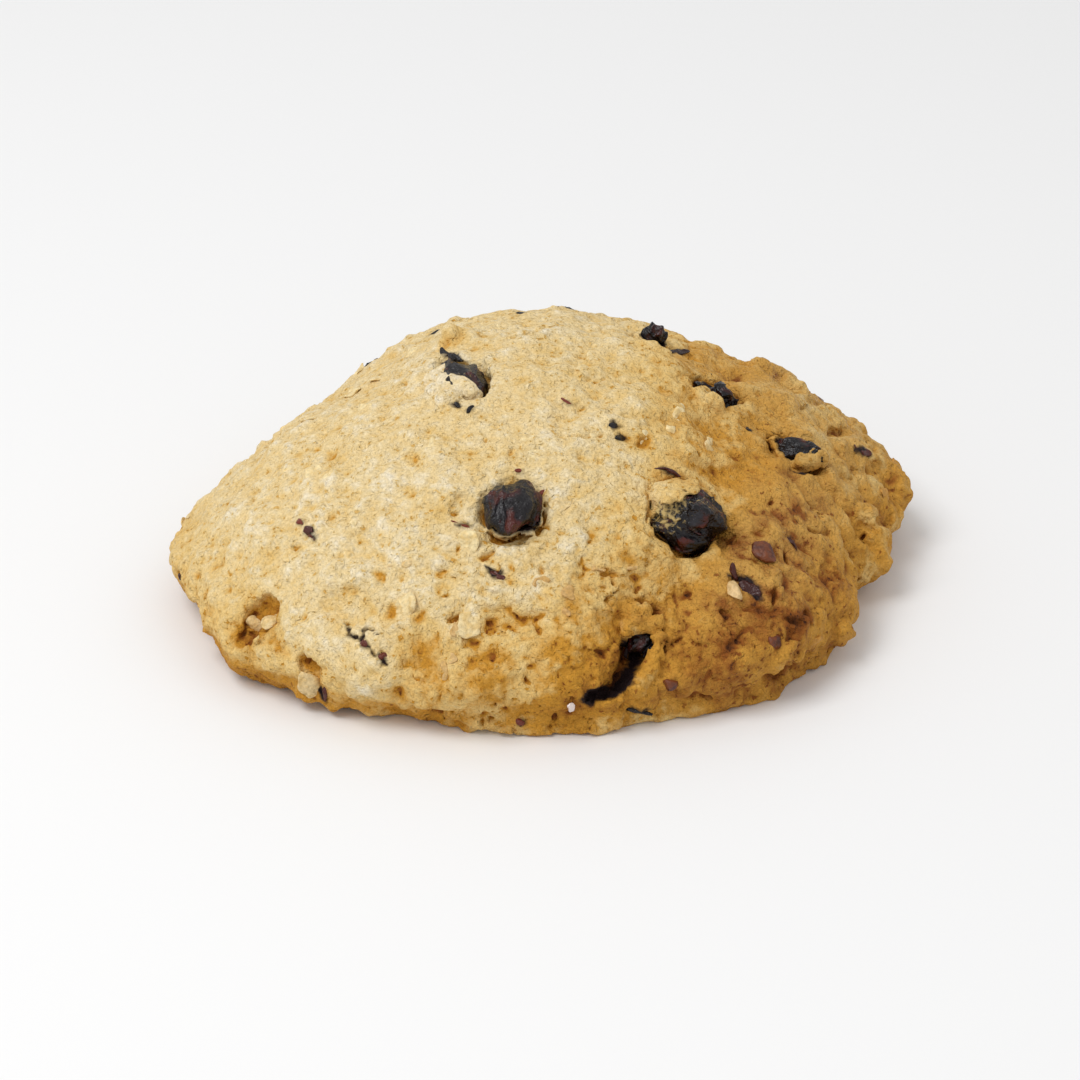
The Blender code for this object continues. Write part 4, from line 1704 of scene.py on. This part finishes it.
            # The lip starts where the dough ends, a millimetre above the floor.
            edge = reach[self.body.read(ring) < 0.0].max()
            size = rng.uniform(2.2, 4.4)
            place = middle + (edge - 0.5 * size + rng.uniform(-0.9, 0.0)) * line
            place[2] = rng.uniform(0.6, 1.1)
            seat = Seat.facing(place, UP, angle + 90.0 + rng.uniform(-20.0, 20.0))
            seat = seat.tilted(rng.uniform(-5.0, 5.0))
            self.body.join(seat, (size, 0.55 * size, rng.uniform(0.6, 0.95)), 0.4)

    def wander(self) -> None:
        """Shift everything a little, this way and that, so that no shape stays regular."""
        numbers = self.body.near(1.1)
        places = self.body.places(numbers)
        grain = Grain(self.seed + 7)
        shift = grain.shifts(places, 2.0) + 0.5 * grain.shifts(places + 90.0, 1.0)
        places = places + 0.4 * shift
        self.body.values.ravel()[numbers] = self.body.read(places)
        self.stains_and_shade.values.ravel()[numbers] = self.stains_and_shade.read(places)

    def break_up(self) -> None:
        """Open ragged pockets, and short fissures in three sizes, between the crumbs."""
        numbers = self.body.near(1.0)
        places = self.body.places(numbers)
        zones = Zones.at(places)
        grain = Grain(self.seed + 5)
        bent = places + 0.5 * grain.shifts(places, 1.6)
        sunk = smooth_step(grain.soft(bent, 1.8), 0.5, 0.95) * (0.05 + 0.08 * zones.rough)
        sunk += smooth_step(grain.soft(bent + 70.0, 1.0), 0.45, 0.85) * 0.16 * zones.rough
        for size, start in ((5.5, 0.0), (3.4, 120.0), (2.4, 240.0)):
            line = np.abs(grain.soft(bent + start, size)) * size / 1.8
            broken = smooth_step(grain.soft(places + start + 60.0, 4.0), 0.05, 0.4)
            groove = (1.0 - smooth_step(line / (0.15 + 0.1 * zones.waxy), 0.2, 1.3)) * broken
            sunk += groove * (0.15 + 0.3 * zones.rough + 0.15 * zones.waxy)
        self.body.sink(numbers, sunk * clear_of_floor(places, 0.4, 1.5))

    def roughen(self) -> None:
        """Add the finest crumb that the mesh can carry."""
        numbers = self.body.near(0.8)
        places = self.body.places(numbers)
        zones = Zones.at(places)
        grain = Grain(self.seed + 9)
        bent = places + 0.3 * grain.shifts(places, 0.9)
        rise = (0.08 + 0.15 * zones.rough + 0.04 * zones.waxy) * (1.1 - 2.0 * grain.cells(bent, 1.2))
        rise += (0.035 + 0.07 * zones.rough) * grain.soft(places, 0.7)
        self.body.sink(numbers, -rise * clear_of_floor(places, 0.1, 1.0))

    def paint_crust(self, piece: bpy.types.Object) -> None:
        """Mark where the crust is baked, sunk and waxy, and where juice marks and painted shade make it
        near black, for its finish to read; the baked and sunk marks carry painted light and shade too.

        Args:
            piece: The crust.
        """
        points = mesh_points(piece)
        zones = Zones.at(points)
        at = Shares.of(points)
        paint(piece, "bake_and_shading", self.browning_and_shading(points, zones, at))
        paint(piece, "hollow_shade_and_browning", self.sunk_shade_and_browning(points, zones))
        paint(piece, "wax", zones.waxy * (0.3 + 0.7 * at.within(w=(0.3, 0.5))))
        paint(piece, "stain_and_shade", smooth_step(-self.stains_and_shade.read(points), -0.1, 0.1))

    def sunk_shade_and_browning(self, points: np.ndarray, zones: Zones) -> np.ndarray:
        """Work out how far points are sunk between the crumbs, where the crust is painted darker and
        browner, partly as painted shade.

        Args:
            points: The piece's points, one a row.
            zones: Their zones.

        Returns:
            From a little below 0 on a crumb's top to above 1 in a deep hollow.
        """
        # How far a point lies below the dough evened out over a crumb, and over a lump.
        fine = -self.body.read(points, self.body.blurred(0.6))
        wide = -self.body.read(points, self.body.blurred(1.8))
        sharp = 1.0 - 0.6 * zones.floury
        strength = 0.45 + 0.3 * sharp - 0.25 * zones.waxy
        # Sunk points painted darker: partly the oven's colour, partly painted shade in the hollows.
        sunk = strength * smooth_step(fine, 0.16 - 0.04 * sharp, 0.5 - 0.05 * sharp)
        sunk += (0.7 - 0.4 * zones.waxy) * smooth_step(wide, 0.05, 1.0)
        # Tops of lumps painted paler: partly flour dust, partly painted highlight.
        return sunk - 0.15 * smooth_step(-wide, 0.0, 0.45)

    def browning_and_shading(self, points: np.ndarray, zones: Zones, at: Shares) -> np.ndarray:
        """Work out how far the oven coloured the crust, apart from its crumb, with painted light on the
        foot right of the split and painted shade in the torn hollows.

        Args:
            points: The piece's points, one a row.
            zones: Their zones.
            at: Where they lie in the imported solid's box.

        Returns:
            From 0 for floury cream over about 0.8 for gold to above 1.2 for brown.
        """
        grain = Grain(self.seed + 8)
        # The front browned low down, more so to the right, and its very foot less.
        front = at.within(w=(0.62, 0.22), v=(0.2, 0.05), u=(0.33, 0.55))
        bake_and_shading = 0.04 + 0.45 * front * (1.0 + at.within(u=(0.42, 0.6), w=(0.4, 0.1)))
        low = at.within(w=(0.5, 0.25), v=(0.16, 0.06), u=(0.25, 0.35))
        bake_and_shading += (0.2 + 0.18 * at.within(u=(0.44, 0.38))) * low
        bake_and_shading -= 0.3 * front * at.within(w=(0.14, 0.06))
        # The left side stayed the palest, and the lower edge turned all round.
        bake_and_shading -= 0.2 * at.within(u=(0.45, 0.25), w=(0.4, 0.5), v=(0.45, 0.3))
        bake_and_shading = np.maximum(bake_and_shading, 0.6 * at.within(w=(0.25, 0.05)))
        # Gold comes in slowly towards the right, sooner lower down, and is palest along the far rim.
        turning = smooth_step(at.u + 0.1 * at.within(w=(0.75, 0.55)), 0.56, 0.7)
        bake_and_shading += 0.36 * turning * at.within(w=(0.15, 0.35)) * (0.3 + 0.7 * at.within(w=(0.48, 0.62)))
        right = 0.77 + 0.07 * at.within(w=(0.5, 0.15)) - 0.34 * at.within(v=(0.4, 0.52), w=(0.5, 0.6))
        bake_and_shading += zones.waxy * (right - np.minimum(bake_and_shading, 0.85))
        # The waxy side is deepest beside the dome and above the foot, and paler at its tip.
        bake_and_shading += 0.14 * zones.waxy * at.within(u=(0.88, 0.76), w=(0.2, 0.4))
        bake_and_shading += 0.14 * zones.waxy * at.within(w=(0.42, 0.32, 0.15, 0.25))
        bake_and_shading -= 0.25 * at.within(u=(0.84, 0.92), w=(0.05, 0.15))
        # The foot: browner at the left, and painted paler right of the split, as light where the
        # overhang shades it.
        bake_and_shading += 0.13 * at.within(w=(0.35, 0.2), u=(0.28, 0.2))
        bake_and_shading -= 0.3 * at.within(w=(0.3, 0.22), u=(0.53, 0.57, 0.7, 0.64))
        # Patches everywhere, and streaks that run down the waxy side.
        bake_and_shading += (0.05 + 0.12 * zones.waxy + 0.15 * zones.rough) * grain.layers(points, 4.0, 3)
        bake_and_shading += 0.12 * zones.waxy * grain.layers(points * (1.0, 1.0, 0.45), 2.0, 2)
        # The left rim, some crumbs and the low rear edge toasted; the torn hollows painted darker,
        # partly as shade in them.
        bake_and_shading += 0.22 * at.within(w=(0.5, 0.2), u=(0.3, 0.0), v=(0.6, 0.3))
        for spot in HOLLOWS + TOASTED:
            away = np.linalg.norm(points - spot.middle(), axis=1) / max(spot.radii)
            bake_and_shading += 0.28 * smooth_step(away, 1.4, 0.4)
        return np.maximum(bake_and_shading, 0.5 * at.within(w=(0.25, 0.0), v=(0.4, 0.7)))


# ---------------------------------------------------------------- bits in the dough


# Slivers of cranberry skin: tone 0 is near black, tone 1 is dark red.
SKIN_BITS = (
    Spot((0.655, 0.300, 0.755), (2.0, 0.35, 0.3), -8.0, 0.0, 0.0, 0.3, -0.08),
    Spot((0.682, 0.626, 0.845), (2.4, 0.45, 0.35), 39.0, 0.0, 0.0, 0.1),
    Spot((0.184, 0.246, 0.619), (0.9, 0.45, 0.3), -50.0, -0.02, 0.0, 0.95),
    Spot((0.197, 0.226, 0.600), (1.2, 0.6, 0.3), -35.0, -0.02, 0.0, 0.35),
    Spot((0.204, 0.215, 0.591), (0.8, 0.3, 0.3), -45.0, -0.02, 0.0, 0.5),
    Spot((0.434, 0.125, 0.580), (1.9, 0.5, 0.3), -28.0, -0.05, 0.0, 0.45),
    Spot((0.587, 0.355, 0.880), (0.7, 0.6, 0.35), 60.0, 0.0),
    Spot((0.595, 0.341, 0.847), (0.8, 0.6, 0.35), 30.0, 0.0),
    Spot((0.817, 0.263, 0.491), (1.2, 0.6, 0.35), -35.0, 0.0, 0.0, 0.25),
    Spot((0.765, 0.467, 0.697), (0.8, 0.5, 0.35), -50.0, 0.0),
    Spot((0.615, 0.050, 0.100), (2.3, 0.45, 0.35), 5.0, 0.0, 0.0, 0.0, 0.05),
    Spot((0.023, 0.320, 0.234), (0.8, 0.5, 0.35), -60.0, -0.05, 0.0, 0.2),
    Spot((0.927, 0.540, 0.490), (1.9, 0.7, 0.3), 22.0, -0.15, 0.0, 0.45),
    Spot((0.349, 0.717, 0.800), (0.8, 0.5, 0.35), 20.0, 0.0),
    Spot((0.465, 0.700, 0.908), (0.7, 0.5, 0.35), -20.0, 0.0),
    Spot((0.468, 0.020, 0.070), (0.8, 0.5, 0.35), 0.0, 0.0, 0.0, 0.8),
    Spot((0.221, 0.068, 0.121), (1.7, 0.6, 0.4), 5.0, -0.05, 0.0, 0.4),
    Spot((0.395, 0.190, 0.689), (1.8, 0.25, 0.25), -12.0, -0.02, 0.0, 1.0),
    Spot((0.487, 0.231, 0.762), (1.1, 0.35, 0.3), 10.0, -0.02, 0.0, 1.0),
    Spot((0.527, 0.395, 0.921), (1.1, 0.3, 0.25), -20.0, -0.02, 0.0, 1.0),
    Spot((0.465, 0.263, 0.811), (0.5, 0.3, 0.25), 0.0, -0.02, 0.0, 1.0),
    Spot((0.386, 0.387, 0.932), (1.2, 0.5, 0.35), -38.0, 0.0),
    Spot((0.710, 0.538, 0.812), (1.8, 0.45, 0.35), 45.0, 0.05),
    Spot((0.402, 0.376, 0.926), (0.8, 0.4, 0.35), 45.0, 0.0),
    Spot((0.372, 0.535, 0.949), (2.3, 0.65, 0.4), -53.0, 0.0, 0.0, 0.0, 0.05),
    Spot((0.274, 0.060, 0.371), (0.7, 0.5, 0.3), 30.0, 0.02, 0.0, 0.6),
    Spot((0.298, 0.046, 0.336), (0.6, 0.5, 0.35), 0.0, 0.05, 0.0, 0.7),
    Spot((0.738, 0.166, 0.490), (1.7, 0.5, 0.45), -12.0, 0.1, 0.0, 0.35, 0.1),
    Spot((0.755, 0.152, 0.452), (2.1, 0.9, 0.5), -52.0, 0.1, 0.0, 0.25, -0.1),
    Spot((0.230, 0.760, 0.560), (1.2, 0.5, 0.35), 30.0, 0.0, 0.0, 0.4),
    Spot((0.420, 0.905, 0.420), (1.5, 0.5, 0.35), -10.0, 0.0, 0.0, 0.2),
    Spot((0.620, 0.850, 0.480), (0.9, 0.6, 0.35), 50.0, 0.0),
    Spot((0.800, 0.760, 0.420), (1.3, 0.4, 0.35), 70.0, 0.0, 0.0, 0.7),
)
# Chips of nut: tone 0 is cut flesh, tone 1 is skin.
NUT_CHIPS = (
    Spot((0.771, 0.214, 0.518), (2.1, 1.5, 0.9), -35.0, 0.05, 6.0, 1.0),
    Spot((0.734, 0.145, 0.460), (1.1, 1.7, 0.8), 10.0, 0.05, 0.0, 0.0),
    Spot((0.789, 0.100, 0.298), (1.5, 1.4, 0.8), 20.0, -0.1, 0.0, 1.0),
    Spot((0.651, 0.040, 0.190), (1.1, 1.1, 0.8), 0.0, 0.0, 0.0, 1.0),
    Spot((0.300, 0.820, 0.500), (1.8, 1.3, 0.9), 40.0, 0.1, 0.0, 0.9),
    Spot((0.560, 0.900, 0.380), (1.5, 1.2, 0.9), -30.0, 0.1, 0.0, 0.3),
    Spot((0.860, 0.700, 0.400), (1.7, 1.2, 0.9), 10.0, 0.1, 0.0, 0.8),
)
SUGAR = (Spot((0.529, 0.012, 0.151), (0.75, 0.6, 0.55), 30.0, 0.5),)


@dataclass
class Bits:
    """Small pieces of one kind, half sunk in the crust and joined into one object.

    Attributes:
        name: The piece's name.
        spots: Where each bit is.
        planes: How many flat cuts shape a bit; with none it is rounded.
        seed: The start of its chances.
        detail: How many times the ball that a bit is made from is divided.
        rough: How far its surface wanders, in millimetres.
        sunk: How much deeper than their spots say they all lie, in millimetres.
    """

    name: str
    spots: Sequence[Spot]
    planes: int
    seed: int
    detail: int = 4
    rough: float = 0.2
    sunk: float = 0.0

    def build(self, crust: Body, material: bpy.types.Material) -> bpy.types.Object:
        """Make the bits.

        Args:
            crust: The dough they lie in.
            material: Their finish.

        Returns:
            The piece.
        """
        rng = np.random.default_rng(self.seed)
        grain = Grain(self.seed)
        ball = bmesh.new()
        bmesh.ops.create_icosphere(ball, subdivisions=self.detail, radius=1.0)
        directions = np.array([vert.co for vert in ball.verts])
        faces = np.array([[vert.index for vert in face.verts] for face in ball.faces])
        ball.free()
        points, every_face, tones = [], [], []
        for number, spot in enumerate(self.spots):
            seat = crust.seat(spot).raised(-self.sunk)
            local = directions * self.reach(directions, rng)[:, None] * np.array(spot.radii)
            local += self.rough * grain.shifts((local + 20.0 * number).astype(np.float32), 1.0)
            local[:, 1] += spot.bend * local[:, 0] ** 2
            points.append(seat.middle + local @ seat.axes)
            every_face.append(faces + number * len(directions))
            tones.append(np.full(len(directions), spot.tone))
        piece = make_piece(self.name, np.concatenate(points), np.concatenate(every_face), material)
        keep_inside(piece)
        paint(piece, "tone", np.concatenate(tones))
        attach(piece, "root")
        return piece

    def reach(self, directions: np.ndarray, rng: np.random.Generator) -> np.ndarray:
        """Shape a bit by flat cuts, with their edges a little rounded.

        Args:
            directions: Directions from its middle, one a row.
            rng: The source of chance.

        Returns:
            How far its surface is in each direction, as shares of its radii.
        """
        if not self.planes:
            return np.ones(len(directions))
        normals = rng.normal(size=(self.planes, 3))
        normals /= np.linalg.norm(normals, axis=1, keepdims=True)
        heights = rng.uniform(0.55, 0.95, self.planes)
        near = np.maximum(directions @ normals.T, 0.0) / heights
        return 1.0 / np.maximum((near ** 16).sum(axis=1) ** (1.0 / 16.0), 0.9)


# ---------------------------------------------------------------- camera and light


@dataclass(frozen=True)
class Studio:
    """A white table, a large soft light from the upper left and pale light all round."""

    elevation: float = 30.0
    distance: float = 0.48
    lens: float = 105.0
    aim: tuple[float, float, float] = (-0.001, 0.0, 0.0042)
    floor_size: float = 6.0
    key_place: tuple[float, float, float] = (-0.4, -0.25, 0.85)
    key_size: float = 0.5
    key_power: float = 4.7
    fill: float = 0.68

    def build(self) -> None:
        """Make the camera, the floor and the lights."""
        scene = bpy.context.scene
        scene.view_settings.view_transform = "Standard"
        camera = bpy.data.objects.new("camera", bpy.data.cameras.new("camera"))
        camera.data.lens = self.lens
        camera.data.clip_start = 0.01
        tilt = math.radians(self.elevation)
        away = Vector((0.0, -math.cos(tilt), math.sin(tilt)))
        camera.location = Vector(self.aim) + away * self.distance
        camera.rotation_euler = away.to_track_quat("Z", "Y").to_euler()
        scene.collection.objects.link(camera)
        scene.camera = camera
        half = 0.5 * self.floor_size / MM
        corners = [(-half, -half, 0.0), (half, -half, 0.0), (half, half, 0.0), (-half, half, 0.0)]
        make_piece("floor", np.array(corners), [(0, 1, 2, 3)], WhiteFloor().make())
        key = bpy.data.objects.new("key_light", bpy.data.lights.new("key_light", "AREA"))
        key.data.size = self.key_size
        key.data.energy = self.key_power
        key.location = self.key_place
        key.rotation_euler = Vector(self.key_place).to_track_quat("Z", "Y").to_euler()
        scene.collection.objects.link(key)
        world = bpy.data.worlds.new("pale_room")
        world.use_nodes = True
        sky = world.node_tree.nodes["Background"]
        sky.inputs["Color"].default_value = (1.0, 1.0, 1.0, 1.0)
        sky.inputs["Strength"].default_value = self.fill
        scene.world = world


def main() -> None:
    """Build the cookie, its table and its light, and report each piece."""
    logging.basicConfig(level=logging.INFO, format="%(message)s")
    Studio().build()
    skin = BerrySkin().make()
    pieces = [Cranberry(node, seed=5 + number).build(skin) for number, node in enumerate(BERRY_NODES)]
    crust = Crust()
    pieces.append(crust.build(BakedDough().make()))
    slivers = Bits("cranberry_slivers", SKIN_BITS, planes=5, seed=21, sunk=0.1).build(crust.body, skin)
    pieces.append(slivers)
    chips = Bits("nut_chips", NUT_CHIPS, planes=9, seed=22, rough=0.08)
    sugar = Bits("sugar_grain", SUGAR, planes=12, seed=23)
    oats = Bits("oat_flakes", crust.flakes(), planes=0, seed=24, detail=3, rough=0.38)
    for bits, finish in ((chips, NutFlesh()), (sugar, SugarGrain()), (oats, RolledOat())):
        pieces.append(bits.build(crust.body, finish.make()))
    for piece in pieces:
        log.info("%s: %d faces", piece.name, len(piece.data.polygons))


if __name__ == "__main__":
    main()
